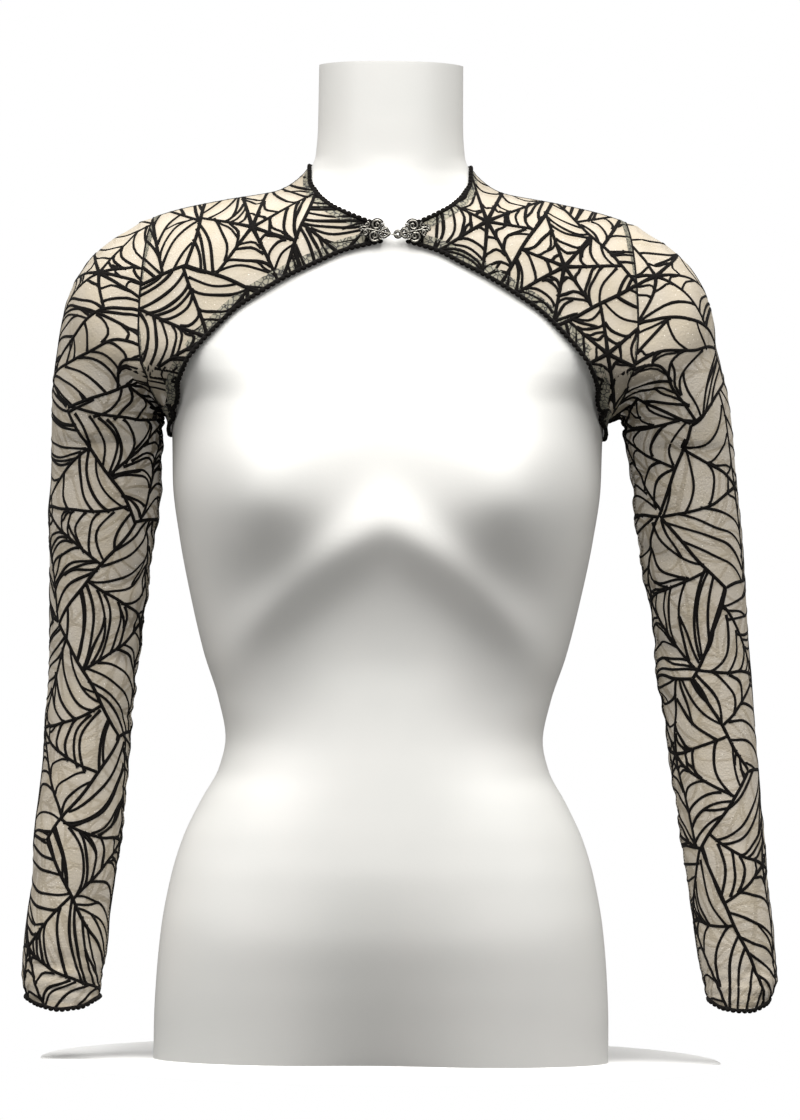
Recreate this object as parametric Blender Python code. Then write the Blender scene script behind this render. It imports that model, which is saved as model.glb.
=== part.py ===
"""A long-sleeved net bolero with picot edges and a hook-and-eye clasp, on a limbless dress form.

Metres, +Z up. The form stands on Z = 0 and looks along -Y, and +X is the wearer's left.
The form and the cloth on it share one body surface, which is worked out from level sections.
"""

import math

import bmesh
import bpy
import numpy as np
from mathutils import Matrix, Vector

PART_NAME = "mesh_bolero_on_form"

# Cloth, in metres
WALL = 0.0012  # thickness of the net's wall
GAP = 0.0012  # from the form to the inside of the cloth
COVER = GAP + WALL  # from the form to the outside of the cloth
SEAM = 0.0003  # space left between two pieces at a seam
SHARPEST = 0.6  # limits how far the cloth stands out where two pieces meet at a sharp angle

# Fineness of the meshes
FORM_HALF = 22  # steps round the front of the form, and as many round its back
NECKLINE_STEPS = 7  # along the front neckline
SHOULDER_STEPS = 8  # along the shoulder seam
BACK_NECK_STEPS = 12
ARMHOLE_STEPS = 11  # from the shoulder to the underarm, and as many behind
SIDE_STEPS = 2  # down the short side seam
FAN_RINGS = 9  # sleeve rings that turn from the armhole to level

# Level sections of the body, here the form below its arm stubs. The columns are the height, the
# half width, the depth in front, the depth behind, the middle's y, and the squareness.
TORSO = (
    (0.000, 0.1740, 0.090, 0.112, 0.000, 2.1),
    (0.030, 0.1738, 0.094, 0.116, 0.000, 2.1),
    (0.060, 0.1725, 0.098, 0.118, 0.000, 2.1),
    (0.100, 0.1690, 0.1015, 0.115, 0.000, 2.1),
    (0.138, 0.1622, 0.1005, 0.106, 0.000, 2.05),
    (0.168, 0.1534, 0.0985, 0.097, 0.000, 2.0),
    (0.199, 0.1388, 0.0955, 0.087, 0.000, 2.0),
    (0.222, 0.1262, 0.0930, 0.080, 0.000, 2.0),
    (0.245, 0.1213, 0.0905, 0.075, 0.000, 2.0),
    (0.275, 0.1270, 0.088, 0.073, 0.000, 2.0),
    (0.310, 0.1385, 0.086, 0.076, 0.000, 2.05),
    (0.352, 0.1488, 0.086, 0.083, 0.000, 2.1),
    (0.398, 0.1580, 0.088, 0.092, 0.000, 2.15),
    (0.440, 0.1636, 0.091, 0.097, 0.000, 2.2),
    (0.474, 0.1645, 0.094, 0.100, 0.002, 2.2),
    (0.500, 0.1670, 0.094, 0.100, 0.004, 2.25),
    (0.526, 0.1830, 0.093, 0.099, 0.008, 2.6),
)
# The form and the cloth from the cut of the arm stubs up to the top of the neck
SHOULDER = (
    (0.540, 0.2420, 0.0920, 0.0985, 0.0090, 2.0),
    (0.555, 0.2425, 0.0905, 0.0975, 0.0100, 2.0),
    (0.580, 0.2410, 0.0870, 0.0950, 0.0120, 1.9),
    (0.595, 0.2355, 0.0845, 0.0925, 0.0130, 1.85),
    (0.610, 0.2255, 0.0810, 0.0895, 0.0140, 1.75),
    (0.625, 0.2080, 0.0770, 0.0860, 0.0145, 1.6),
    (0.633, 0.1950, 0.0745, 0.0835, 0.0150, 1.5),
    (0.641, 0.1810, 0.0720, 0.0805, 0.0150, 1.35),
    (0.648, 0.1600, 0.0695, 0.0775, 0.0150, 1.2),
    (0.6555, 0.1250, 0.0665, 0.0740, 0.0145, 1.05),
    (0.663, 0.0850, 0.0635, 0.0705, 0.0140, 1.2),
    (0.671, 0.0710, 0.0608, 0.0670, 0.0135, 1.35),
    (0.681, 0.0615, 0.0583, 0.0635, 0.0130, 1.5),
    (0.692, 0.0572, 0.0568, 0.0605, 0.0125, 1.6),
    (0.715, 0.0556, 0.0560, 0.0590, 0.0120, 1.6),
    (0.763, 0.0552, 0.0555, 0.0580, 0.0120, 1.6),
)
# The cloth alone, where it leaves the form to pass round the arm
UNDERARM = (
    (0.440, 0.1636, 0.0910, 0.0970, 0.0000, 2.2),
    (0.474, 0.1646, 0.0940, 0.1000, 0.0020, 2.2),
    (0.489, 0.1668, 0.0940, 0.1000, 0.0030, 2.25),
    (0.497, 0.1740, 0.0940, 0.1000, 0.0040, 2.3),
    (0.506, 0.1820, 0.0938, 0.0998, 0.0050, 2.4),
    (0.5165, 0.1945, 0.0935, 0.0995, 0.0065, 2.6),
    (0.527, 0.2250, 0.0930, 0.0990, 0.0080, 2.3),
)
ROUNDNESS = 0.030  # how far from the centre line a section stays flat
CORE = 0.170  # half width that all rings share, so that their points lie over each other
STUB_START = 0.55  # share of a half ring, from the centre, where the arm stub starts
STUB_DROP = -0.0110  # how much lower the inner edge of the stub's cut is than its ring
STUB_RIM = 0.0016  # how much higher the outer edge is
FORM_LEVELS = 20  # rings below the cut of the stubs
LEVEL_TRIES, HALVINGS = 3, 18  # how closely a point's ring is found

# Bust of the form, a smooth mound on each side
BUST_X, BUST_Z = 0.093, 0.430
BUST_RISE = 0.036
BUST_WIDE, BUST_UP, BUST_DOWN = 0.050, 0.074, 0.060
BUST_EDGE = 2.2  # how fast the mound runs out towards the form's side
# Fullness between and below the breasts
STERNUM_RISE, STERNUM_WIDE = 0.012, 0.055
STERNUM_Z, STERNUM_TALL = 0.405, 0.062
# Hollow between the thighs, which deepens to the floor
# Lower edge of the ribs: a soft ridge that falls from the middle to each side
RIB_RISE, RIB_TOP, RIB_SLOPE, RIB_TALL = 0.008, 0.416, 0.80, 0.024
RIB_END, RIB_FADE, RIB_ROUND = 0.140, 0.060, 0.012
# Shallow hollows beside the waist
WAIST_DEPTH, WAIST_X, WAIST_Z = 0.006, 0.080, 0.265
WAIST_WIDE, WAIST_TALL = 0.034, 0.055
GROIN_DEPTH, GROIN_WIDE = 0.022, 0.062
GROIN_TOP, GROIN_POWER = 0.150, 1.6
# Furrow down the spine, which fades out below the neck
SPINE_DEPTH, SPINE_WIDE = 0.006, 0.022
SPINE_TOP, SPINE_FADE = 0.62, 0.10

# Cut edges of the cloth seen from the front, each from the centre outwards: x, height
NECKLINE = (
    (0.0150, 0.6350),
    (0.0225, 0.6380),
    (0.0360, 0.6440),
    (0.0472, 0.6500),
    (0.0560, 0.6590),
    (0.0608, 0.6695),
    (0.0610, 0.6816),
)
HEM = (
    (0.0110, 0.6240),
    (0.0360, 0.6170),
    (0.0550, 0.6078),
    (0.0770, 0.5968),
    (0.0955, 0.5858),
    (0.1140, 0.5733),
    (0.1287, 0.5596),
    (0.1423, 0.5455),
    (0.1512, 0.5337),
    (0.1568, 0.5242),
    (0.1608, 0.5127),
    (0.1625, 0.4995),
    (0.1636, 0.4870),
    (0.1650, 0.4785),
)
ARMHOLE = (
    (0.1805, 0.6413),
    (0.1840, 0.6270),
    (0.1872, 0.6000),
    (0.1888, 0.5750),
    (0.1890, 0.5520),
    (0.1868, 0.5300),
    (0.1822, 0.5165),
    (0.1770, 0.5060),
    (0.1718, 0.4970),
    (0.1668, 0.4890),
)
BACK_HEM = 0.4785  # height of the hem behind
BACK_NECK = 0.6816  # height of the neckline behind
RIDGE_LOW = 0.600  # the shoulder's ridge is read from the sections above this height
CENTRE_SHIFT = 0.0042  # the clasp sits this far to the wearer's left
SHIFT_REACH = 0.050  # how far from the centre the fronts follow it
LOOSE_POWER = 6  # how late, towards the armhole, the cloth leaves the form
# The cloth's bridge over the stub's sharp rim: how high, how far up and down, and where it begins
RIM_LIFT, RIM_REACH = 0.0018, 0.016
RIM_X, RIM_SOFT = 0.125, 0.030
BOW_POWER = 3  # how late the panel's lines take up the armhole's curve
EDGE_POWER = 4  # how late they take up its spacing
CROWDED = 1.6  # a line's fine points lie closer at its top, where the shoulder curves most

# Sleeves. Outer silhouette from the shoulder to the underarm's level, below it one for each arm:
# x, height
SHOULDER_SIDE = (
    (0.1866, 0.6436),
    (0.1985, 0.6350),
    (0.2115, 0.6273),
    (0.2290, 0.6120),
    (0.2395, 0.5967),
    (0.2462, 0.5814),
    (0.2500, 0.5660),
)
UPPER_ARM = {
    "right": ((0.2525, 0.5510), (0.2545, 0.5355), (0.2570, 0.5200), (0.2578, 0.5000), (0.2580, 0.4743)),
    "left": ((0.2510, 0.5510), (0.2550, 0.5355), (0.2592, 0.5200), (0.2630, 0.5000), (0.2660, 0.4743)),
}
# Level sections of each sleeve. The columns are the height, the outer and the inner silhouette,
# half the depth, and the middle's y.
SLEEVES = {
    "right": (
        (0.4743, 0.2580, 0.1716, 0.0460, 0.0120),
        (0.4437, 0.2577, 0.1712, 0.0435, 0.0125),
        (0.4131, 0.2597, 0.1738, 0.0420, 0.0130),
        (0.3825, 0.2586, 0.1780, 0.0405, 0.0135),
        (0.3519, 0.2583, 0.1810, 0.0395, 0.0140),
        (0.3213, 0.2580, 0.1853, 0.0385, 0.0140),
        (0.2907, 0.2584, 0.1880, 0.0380, 0.0130),
        (0.2601, 0.2604, 0.1916, 0.0370, 0.0110),
        (0.2295, 0.2616, 0.1942, 0.0365, 0.0080),
        (0.1989, 0.2643, 0.1962, 0.0360, 0.0045),
        (0.1683, 0.2678, 0.1990, 0.0350, 0.0005),
        (0.1377, 0.2683, 0.2040, 0.0335, -0.0035),
        (0.1071, 0.2717, 0.2075, 0.0320, -0.0075),
        (0.0765, 0.2745, 0.2095, 0.0305, -0.0115),
        (0.0560, 0.2755, 0.2126, 0.0300, -0.0140),
        (0.0395, 0.2725, 0.2136, 0.0290, -0.0160),
    ),
    "left": (
        (0.4743, 0.2660, 0.1811, 0.0460, 0.0120),
        (0.4437, 0.2686, 0.1858, 0.0435, 0.0125),
        (0.4131, 0.2724, 0.1890, 0.0420, 0.0130),
        (0.3825, 0.2750, 0.1942, 0.0405, 0.0135),
        (0.3519, 0.2772, 0.1999, 0.0395, 0.0140),
        (0.3213, 0.2791, 0.2049, 0.0385, 0.0140),
        (0.2907, 0.2817, 0.2075, 0.0380, 0.0130),
        (0.2601, 0.2843, 0.2136, 0.0370, 0.0110),
        (0.2295, 0.2870, 0.2173, 0.0365, 0.0080),
        (0.1989, 0.2896, 0.2230, 0.0360, 0.0045),
        (0.1683, 0.2929, 0.2271, 0.0350, 0.0005),
        (0.1377, 0.2950, 0.2325, 0.0335, -0.0035),
        (0.1071, 0.2990, 0.2370, 0.0320, -0.0075),
        (0.0765, 0.3015, 0.2411, 0.0305, -0.0115),
        (0.0600, 0.3028, 0.2440, 0.0300, -0.0140),
        (0.0435, 0.2985, 0.2470, 0.0285, -0.0160),
    ),
}
# The sleeve's depth over the fan: share of the way, half depth, middle's y
ARM_DEPTH = ((0.0, 0.0610, 0.0120), (0.35, 0.0600, 0.0120), (0.7, 0.0535, 0.0120), (1.0, 0.0460, 0.0120))
# The sleeve's fold under the arm, from the seam to its inner side: share of the way out, and
# share of its rise
CROTCH_RISE = 0.0065
CROTCH = ((0.0, 0.0), (0.25, 0.45), (0.55, 0.8), (0.85, 0.35), (0.98, -0.6))
SETTLE = 0.7  # share of the fan over which the armhole's own shape fades
STUB_CLEAR = 0.0008  # least room between the sleeve's inside and the stub, beside GAP
CLEAR_REACH = 0.008  # height over which that room begins, above the stub's lower rim
SIDE_PUSH = 0.5  # share of the push that a sleeve point takes sideways

# Soft creases of a sleeve: height of the middle, degrees round it from the outer edge by the
# front, depth (troughs are positive), half length round the arm in degrees, half width along it,
# and how much the crease climbs, in metres per degree
FOLDS = {
    "right": (
        (0.452, 150.0, 0.0024, 34.0, 0.006, 0.00020),
        (0.434, 140.0, 0.0018, 30.0, 0.007, 0.00026),
        (0.402, 155.0, 0.0020, 36.0, 0.007, -0.00015),
        (0.368, 150.0, 0.0022, 40.0, 0.008, 0.00018),
        (0.333, 160.0, 0.0020, 38.0, 0.007, 0.00022),
        (0.300, 150.0, 0.0024, 46.0, 0.008, -0.00020),
        (0.262, 165.0, 0.0018, 36.0, 0.008, 0.00016),
        (0.190, 60.0, 0.0012, 50.0, 0.010, 0.00024),
        (0.118, 130.0, 0.0014, 44.0, 0.009, -0.00018),
        (0.072, 80.0, 0.0014, 50.0, 0.007, 0.00012),
        (0.445, 215.0, 0.0020, 36.0, 0.007, -0.00022),
        (0.352, 225.0, 0.0018, 42.0, 0.008, 0.00018),
        (0.286, 210.0, 0.0020, 40.0, 0.008, -0.00016),
    ),
    "left": (
        (0.448, 152.0, 0.0024, 34.0, 0.006, -0.00020),
        (0.428, 142.0, 0.0018, 32.0, 0.007, 0.00022),
        (0.392, 150.0, 0.0022, 38.0, 0.007, 0.00018),
        (0.355, 162.0, 0.0018, 34.0, 0.008, -0.00020),
        (0.318, 150.0, 0.0024, 44.0, 0.008, 0.00022),
        (0.276, 158.0, 0.0020, 40.0, 0.008, 0.00016),
        (0.236, 145.0, 0.0014, 40.0, 0.009, -0.00018),
        (0.170, 70.0, 0.0012, 46.0, 0.010, 0.00020),
        (0.104, 120.0, 0.0014, 48.0, 0.009, 0.00016),
        (0.074, 60.0, 0.0012, 44.0, 0.007, -0.00014),
        (0.440, 220.0, 0.0020, 34.0, 0.007, 0.00020),
        (0.340, 212.0, 0.0020, 42.0, 0.008, -0.00018),
        (0.270, 222.0, 0.0018, 38.0, 0.008, 0.00020),
    ),
}

# Picot edges: a bead along each cut edge
BEAD = 0.0012  # its radius
BEAD_ROOM = 0.0005  # from the cut edge
BEAD_LIFT = 0.9  # its middle's place in the wall, from the inside to the outside

# Clasp, one half on each side of its middle. A ring is its own radius and its wire's.
CLASP_TILT = math.radians(12.0)  # each half slopes down to the middle
CLASP_HEIGHT = 0.6268
CLASP_STAND = 0.0030  # from the cloth's outside to the middle of the metal
LOBE = (0.0034, 0.00085)  # the two open scrolls
LOBE_AT = (0.0150, 0.0038)  # along the half, and above or below its line
LEAF = (0.0017, 0.0007)  # the three small scrolls at the outer end
LEAF_ANGLES = (60.0, 0.0, -60.0)
LEAF_AT, LEAF_REACH, LEAF_SPREAD = 0.0215, 0.0026, 1.3
DIAMOND = (0.0040, 0.0008)  # the openwork between the scrolls and the hook or eye
DIAMOND_AT = 0.0082
SPINE_TO = 0.0010  # how far past the small scrolls' middle the spine runs
LAP = 0.00013  # neighbouring rings lie this much before or behind each other
EYE = (0.0024, 0.00055)
EYE_AT = 0.0022
HOOK_WIRE = 0.00045
# The hook's wire, from its half through the eye and back: along the half, and forward or back
HOOK_PATH = (
    (-0.0050, 0.0000),
    (-0.0028, -0.0005),
    (-0.0008, -0.0014),
    (0.0012, -0.0014),
    (0.0022, -0.0008),
    (0.0024, 0.0002),
    (0.0018, 0.0011),
    (0.0008, 0.0013),
)


def along_rows(rows, at):
    """The columns of a table at any place of its first column, on a curve that never overshoots."""
    table = np.array(rows, dtype=float)
    place, value = table[:, 0], table[:, 1:]
    at = np.asarray(at, dtype=float)
    slope = np.diff(value, axis=0) / np.diff(place)[:, None]
    tangent = np.vstack([slope[:1], np.zeros_like(slope[1:]), slope[-1:]])
    before, after = slope[:-1], slope[1:]
    agree = before * after > 0
    total = np.where(agree, before + after, 1.0)
    tangent[1:-1] = np.where(agree, 2 * before * after / total, 0.0)
    low = np.clip(np.searchsorted(place, at, side="right") - 1, 0, len(place) - 2)
    span = place[low + 1] - place[low]
    t = np.clip((at - place[low]) / span, 0.0, 1.0)[..., None]
    span = span[..., None]
    return (
        (1 + 2 * t) * (1 - t) ** 2 * value[low]
        + t * (1 - t) ** 2 * span * tangent[low]
        + t * t * (3 - 2 * t) * value[low + 1]
        - t * t * (1 - t) * span * tangent[low + 1]
    )


def smooth(t):
    """Eases from 0 to 1."""
    t = np.clip(t, 0.0, 1.0)
    return t * t * (3 - 2 * t)


def length_share(points):
    """Share of the whole length at each point of a line."""
    run = np.concatenate([[0.0], np.cumsum(np.linalg.norm(np.diff(points, axis=0), axis=1))])
    return run / run[-1]


def spaced(points, shares):
    """Points of a line at the given shares of its length."""
    points = np.asarray(points)
    run = length_share(points)
    return np.stack([np.interp(shares, run, points[:, i]) for i in range(points.shape[1])], axis=1)


def through(rows, shares):
    """A smooth line through a table of points, at the given shares of its length."""
    rows = np.array(rows, dtype=float)
    knots = length_share(rows)
    fine = along_rows(np.column_stack([knots, rows]), np.linspace(0, 1, 200))
    return spaced(fine, shares)


def section_share(x, half_width):
    """How far across a section x is, from 0 at its middle to 1 at its side."""
    return (np.hypot(x, ROUNDNESS) - ROUNDNESS) / (np.hypot(half_width, ROUNDNESS) - ROUNDNESS)


def depth_at(x, height, side, sizes):
    """Y of the body at x: the front for side -1, the back for side 1."""
    half_width, front, back, middle, squareness = np.moveaxis(sizes, -1, 0)
    share = np.clip(section_share(x, half_width), 0.0, 1.0)
    reach = (1 - share**squareness) ** (1 / squareness)
    across = np.exp(-(((np.abs(x) - BUST_X) / BUST_WIDE) ** 2))
    tall = np.where(height > BUST_Z, BUST_UP, BUST_DOWN)
    mound = BUST_RISE * across * np.exp(-(((height - BUST_Z) / tall) ** 2)) * smooth(BUST_EDGE * reach)
    between = STERNUM_RISE * np.exp(-((x / STERNUM_WIDE) ** 2) - ((height - STERNUM_Z) / STERNUM_TALL) ** 2)
    furrow = SPINE_DEPTH * np.exp(-((x / SPINE_WIDE) ** 2)) * smooth((SPINE_TOP - height) / SPINE_FADE)
    rib_level = RIB_TOP - RIB_SLOPE * np.hypot(x, RIB_ROUND)
    ribs = RIB_RISE * np.exp(-(((height - rib_level) / RIB_TALL) ** 2)) * smooth((RIB_END - np.abs(x)) / RIB_FADE)
    beside_waist = np.exp(-(((np.abs(x) - WAIST_X) / WAIST_WIDE) ** 2) - ((height - WAIST_Z) / WAIST_TALL) ** 2)
    ribs = ribs - WAIST_DEPTH * beside_waist * smooth(BUST_EDGE * reach)
    groin = GROIN_DEPTH * np.exp(-((x / GROIN_WIDE) ** 2))
    groin = groin * np.clip((GROIN_TOP - height) / GROIN_TOP, 0.0, 1.0) ** GROIN_POWER
    front_y = middle - front * reach - mound - between - ribs + groin
    back_y = middle + back * reach - furrow
    return np.where(np.asarray(side) < 0, front_y, back_y)


def form_sizes(height):
    """The form's section at a level, counted on its centre line."""
    return along_rows(TORSO + SHOULDER, height)


def stub_share(u):
    """How far a point of a half ring is on the arm stub, from 0 on the chest to 1 at the side."""
    return smooth((np.abs(u) - STUB_START) / (1 - STUB_START))


def ring_x(u, half_width):
    """X along a half ring, for u from -1 to 1: the chest's part is alike on all rings."""
    core = np.minimum(half_width, CORE)
    return core * np.sin(u * math.pi / 2) + np.sign(u) * (half_width - core) * stub_share(u)


def bent_level(height, stub):
    """The centre-line level of the ring that passes a height at a place on the stub."""
    under, over = TORSO[-2][0], SHOULDER[1][0]
    inner, outer = TORSO[-1][0], SHOULDER[0][0]
    low, high = inner + STUB_DROP * stub, outer + STUB_RIM * stub
    rising = under + (height - under) * (inner - under) / (low - under)
    cut = inner + (height - low) * (outer - inner) / (high - low)
    falling = outer + (height - high) * (over - outer) / (over - high)
    bands = [height < under, height < low, height < high, height < over]
    return np.select(bands, [height, rising, cut, falling], height)


def ring_level(x, height):
    """The level of the form's ring through a point, found by trying its place along the ring."""
    level = height = np.asarray(height, dtype=float)
    x = np.broadcast_to(np.abs(x), height.shape)
    for _ in range(LEVEL_TRIES):
        half_width = form_sizes(level)[..., 0]
        low, high = np.zeros_like(height), np.ones_like(height)
        for _ in range(HALVINGS):
            middle = (low + high) / 2
            beyond = ring_x(middle, half_width) > x
            low, high = np.where(beyond, low, middle), np.where(beyond, middle, high)
        level = bent_level(height, stub_share((low + high) / 2))
    return level


def cloth_sizes(x, height, loose):
    """The section that the cloth lies on: the form's, or, where it is loose, one round the arm."""
    height = np.asarray(height, dtype=float)
    round_arm = along_rows(UNDERARM + SHOULDER[1:], height)
    on_form = form_sizes(ring_level(x, height))
    loose = np.asarray(loose, dtype=float)[..., None]
    sizes = on_form + (round_arm - on_form) * loose
    near_rim = np.exp(-(((height - SHOULDER[0][0]) / RIM_REACH) ** 2))
    near_rim = near_rim * smooth((np.abs(x) - RIM_X) / RIM_SOFT)
    sizes[..., 1:3] += (RIM_LIFT * near_rim)[..., None]
    return sizes


def form_ring(height, sizes, rim):
    """One ring of the form, from its left side by the front to the right side and back behind."""
    half_width = sizes[0]
    u = np.linspace(1, -1, FORM_HALF + 1)
    x = ring_x(u, half_width)
    z = height + rim * stub_share(u)
    front = np.stack([x, depth_at(x, height, -1, sizes), z], axis=1)
    back = np.stack([x, depth_at(x, height, 1, sizes), z], axis=1)
    return np.vstack([front, back[-2:0:-1]])


def form_rings():
    """All the rings of the form, from the floor to the top of the neck."""
    low = np.linspace(TORSO[0][0], TORSO[-2][0], FORM_LEVELS)
    rows = np.array([row[0] for row in SHOULDER])
    high = np.sort(np.concatenate([rows, (rows[1:] + rows[:-1]) / 2]))
    drops = {TORSO[-1][0]: STUB_DROP, SHOULDER[0][0]: STUB_RIM}
    heights = [*low, TORSO[-1][0], *high]
    return np.array([form_ring(h, form_sizes(h), drops.get(h, 0.0)) for h in heights])


def edge_shift(x, share, sign):
    """How far a front's line moves towards the clasp, which sits off the centre."""
    fade = max(0.0, 1 - share * (NECKLINE_STEPS + SHOULDER_STEPS) / NECKLINE_STEPS)
    return sign * CENTRE_SHIFT * np.exp(-((x / SHIFT_REACH) ** 2)) * fade


def shoulder_seam():
    """The shoulder seam seen from the front, along the ridge from the neck to the armhole."""
    heights = np.linspace(RIDGE_LOW, BACK_NECK, 400)
    widths = along_rows(SHOULDER, heights)[:, 0]
    x = np.linspace(NECKLINE[-1][0], ARMHOLE[0][0], SHOULDER_STEPS + 1)
    return np.stack([x, np.interp(-x, -widths, heights)], axis=1)


def lay(line, share, side):
    """Points seen from the front, x and height, laid on the body."""
    x, z = line[:, 0], line[:, 1]
    sizes = cloth_sizes(x, z, np.full(len(z), share**LOOSE_POWER))
    x = np.clip(x, -sizes[:, 0], sizes[:, 0])
    return np.stack([x, depth_at(x, z, side, sizes), z], axis=1)


def armhole_line(side):
    """The armhole and the side seam under it, from the shoulder to the hem, on the wearer's left."""
    hole = lay(through(ARMHOLE, np.linspace(0, 1, 240)), 1.0, side)
    hole = spaced(hole, np.linspace(0, 1, ARMHOLE_STEPS + 1))
    down = np.linspace(ARMHOLE[-1][1], HEM[-1][1], SIDE_STEPS + 1)[1:]
    sizes = cloth_sizes(ARMHOLE[-1][0], down, np.ones(SIDE_STEPS))
    seam = np.stack([sizes[:, 0], sizes[:, 3], down], axis=1)
    hole[[0, -1], 1] = cloth_sizes(hole[[0, -1], 0], hole[[0, -1], 2], np.ones(2))[:, 3]
    return np.vstack([hole, seam])


def panel_lines(top, bottom, shares, side, shift=0):
    """Lines over the body from a panel's top edge to its hem, with equal steps along each.

    The line at share 1 is the armhole itself, and the lines before it bend towards its shape.
    """
    edge = armhole_line(side)
    steps = length_share(edge)
    even = np.linspace(0, 1, len(steps))
    fine = np.linspace(0, 1, 160) ** CROWDED
    bow = through(ARMHOLE + ((HEM[-1][0], HEM[-1][1]),), fine)
    bow -= bow[0] + (bow[-1] - bow[0]) * fine[:, None]
    lines = []
    for share, start, end in zip(shares, top, bottom):
        if share > 1 - 1e-9:
            lines.append(edge)
            continue
        flat = start + (end - start) * fine[:, None] + bow * share**BOW_POWER
        if shift:
            flat[:, 0] += edge_shift(flat[:, 0], share, shift)
        laid = lay(flat, share, side)
        lines.append(spaced(laid, even + (steps - even) * share**EDGE_POWER))
    return np.array(lines)


def front_grid(sign):
    """A front on the body surface, its lines running from the clasp to the armhole.

    It is worked out on the wearer's left and mirrored for the right.
    """
    neck = through(NECKLINE, np.linspace(0, 1, NECKLINE_STEPS + 1))
    top = np.vstack([neck[:-1], shoulder_seam()])
    shares = np.linspace(0, 1, len(top))
    bottom = through(HEM, shares)
    return panel_lines(top, bottom, shares, -1, sign) * np.array([sign, 1.0, 1.0])


def back_grid():
    """The back, from the wearer's right armhole to the left one."""
    turn = np.linspace(0, math.pi / 2, BACK_NECK_STEPS // 2 + 1)[:-1]
    half_neck = NECKLINE[-1][0] * np.sin(turn)
    neck = np.stack([half_neck, np.full(len(half_neck), BACK_NECK)], axis=1)
    line = np.vstack([neck, shoulder_seam()])
    across = np.linspace(0, 1, len(line))
    hem = np.stack([HEM[-1][0] * np.sin(across * math.pi / 2), np.full(len(line), BACK_HEM)], axis=1)
    left = panel_lines(line, hem, across, 1)
    right = left[:0:-1] * np.array([-1.0, 1.0, 1.0])
    return np.vstack([right, left])


def grid_normals(grid, closed=False):
    """Unit normals of a grid of points, from its neighbours' differences."""
    if closed:
        around = np.roll(grid, -1, axis=1) - np.roll(grid, 1, axis=1)
    else:
        around = np.gradient(grid, axis=1)
    return unit(np.cross(np.gradient(grid, axis=0), around))


def unit(vectors):
    """Vectors of length one."""
    return vectors / np.maximum(np.linalg.norm(vectors, axis=-1, keepdims=True), 1e-12)


def pulled_in(skins, closed=False):
    """Both faces of a wall with its seam edges moved in by half the space between two pieces."""
    inner, outer = (s.copy() for s in skins)
    for skin in (inner, outer):
        fixed = skin.copy()
        for edge, beside in ((0, 1), (-1, -2)):
            skin[edge] += unit(fixed[beside] - fixed[edge]) * SEAM / 2
        if not closed:
            for edge, beside in ((0, 1), (-1, -2)):
                skin[:, edge] += unit(fixed[:, beside] - fixed[:, edge]) * SEAM / 2
    return inner, outer


def farther_out(corners, away):
    """Whether a quad's diagonal from its first corner lies farther out than the other one."""
    return float(np.dot(corners[0] + corners[2] - corners[1] - corners[3], away)) > 0


def wall_mesh(name, inner, outer, closed=False):
    """A closed wall between two grids: sheets inside and outside, and strips round the edges."""
    rows, columns = inner.shape[:2]
    mesh = bpy.data.meshes.new(name)
    points = np.vstack([inner.reshape(-1, 3), outer.reshape(-1, 3)])
    size = rows * columns
    wrap = columns if closed else columns - 1

    def at(row, column, skin):
        return skin * size + row * columns + column % columns

    faces = []
    for row in range(rows - 1):
        for column in range(wrap):
            ring = [(row, column), (row + 1, column), (row + 1, column + 1), (row, column + 1)]
            corners = [inner[r, c % columns] for r, c in ring]
            wall = sum(outer[r, c % columns] - inner[r, c % columns] for r, c in ring)
            if not farther_out(corners, wall):
                ring = ring[1:] + ring[:1]
            for half in (ring[:3], [ring[0], ring[2], ring[3]]):
                faces.append([at(r, c, 1) for r, c in half])
                faces.append([at(r, c, 0) for r, c in reversed(half)])
    edges = []
    for column in range(wrap):
        edges.append([(0, column), (0, column + 1)])
        edges.append([(rows - 1, column + 1), (rows - 1, column)])
    if not closed:
        for row in range(rows - 1):
            edges.append([(row + 1, 0), (row, 0)])
            edges.append([(row, columns - 1), (row + 1, columns - 1)])
    for one, other in edges:
        strip = [at(*one, 1), at(*other, 1), at(*other, 0), at(*one, 0)]
        # split along the shorter diagonal, so that two pieces at a seam are split alike
        first, second = points[strip[0]] - points[strip[2]], points[strip[1]] - points[strip[3]]
        if np.linalg.norm(first) > np.linalg.norm(second):
            strip = strip[1:] + strip[:1]
        faces += [strip[:3], [strip[0], strip[2], strip[3]]]
    mesh.from_pydata(points.tolist(), [], faces)
    return mesh


def stub_cleared(points):
    """Sleeve points moved out where they would enter the form's shoulder or arm stub."""
    height = points[..., 2]
    bottom = TORSO[-1][0] + STUB_DROP
    sizes = along_rows(SHOULDER, height)
    half_width, front, back, middle, squareness = np.moveaxis(sizes, -1, 0)
    across = np.abs(points[..., 0])
    deep = points[..., 1] - middle
    half_depth = np.where(deep < 0, front, back)
    share = section_share(across, half_width + STUB_CLEAR)
    out = (share**squareness + (np.abs(deep) / (half_depth + STUB_CLEAR)) ** squareness) ** (1 / squareness)
    weight = smooth((height - bottom) / CLEAR_REACH)
    push = 1 + (1 / np.clip(out, 0.5, 1.0) - 1) * weight
    moved = points.copy()
    moved[..., 1] = middle + deep * push
    moved[..., 0] = np.sign(points[..., 0]) * across * (1 + (push - 1) * SIDE_PUSH)
    return moved


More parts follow.
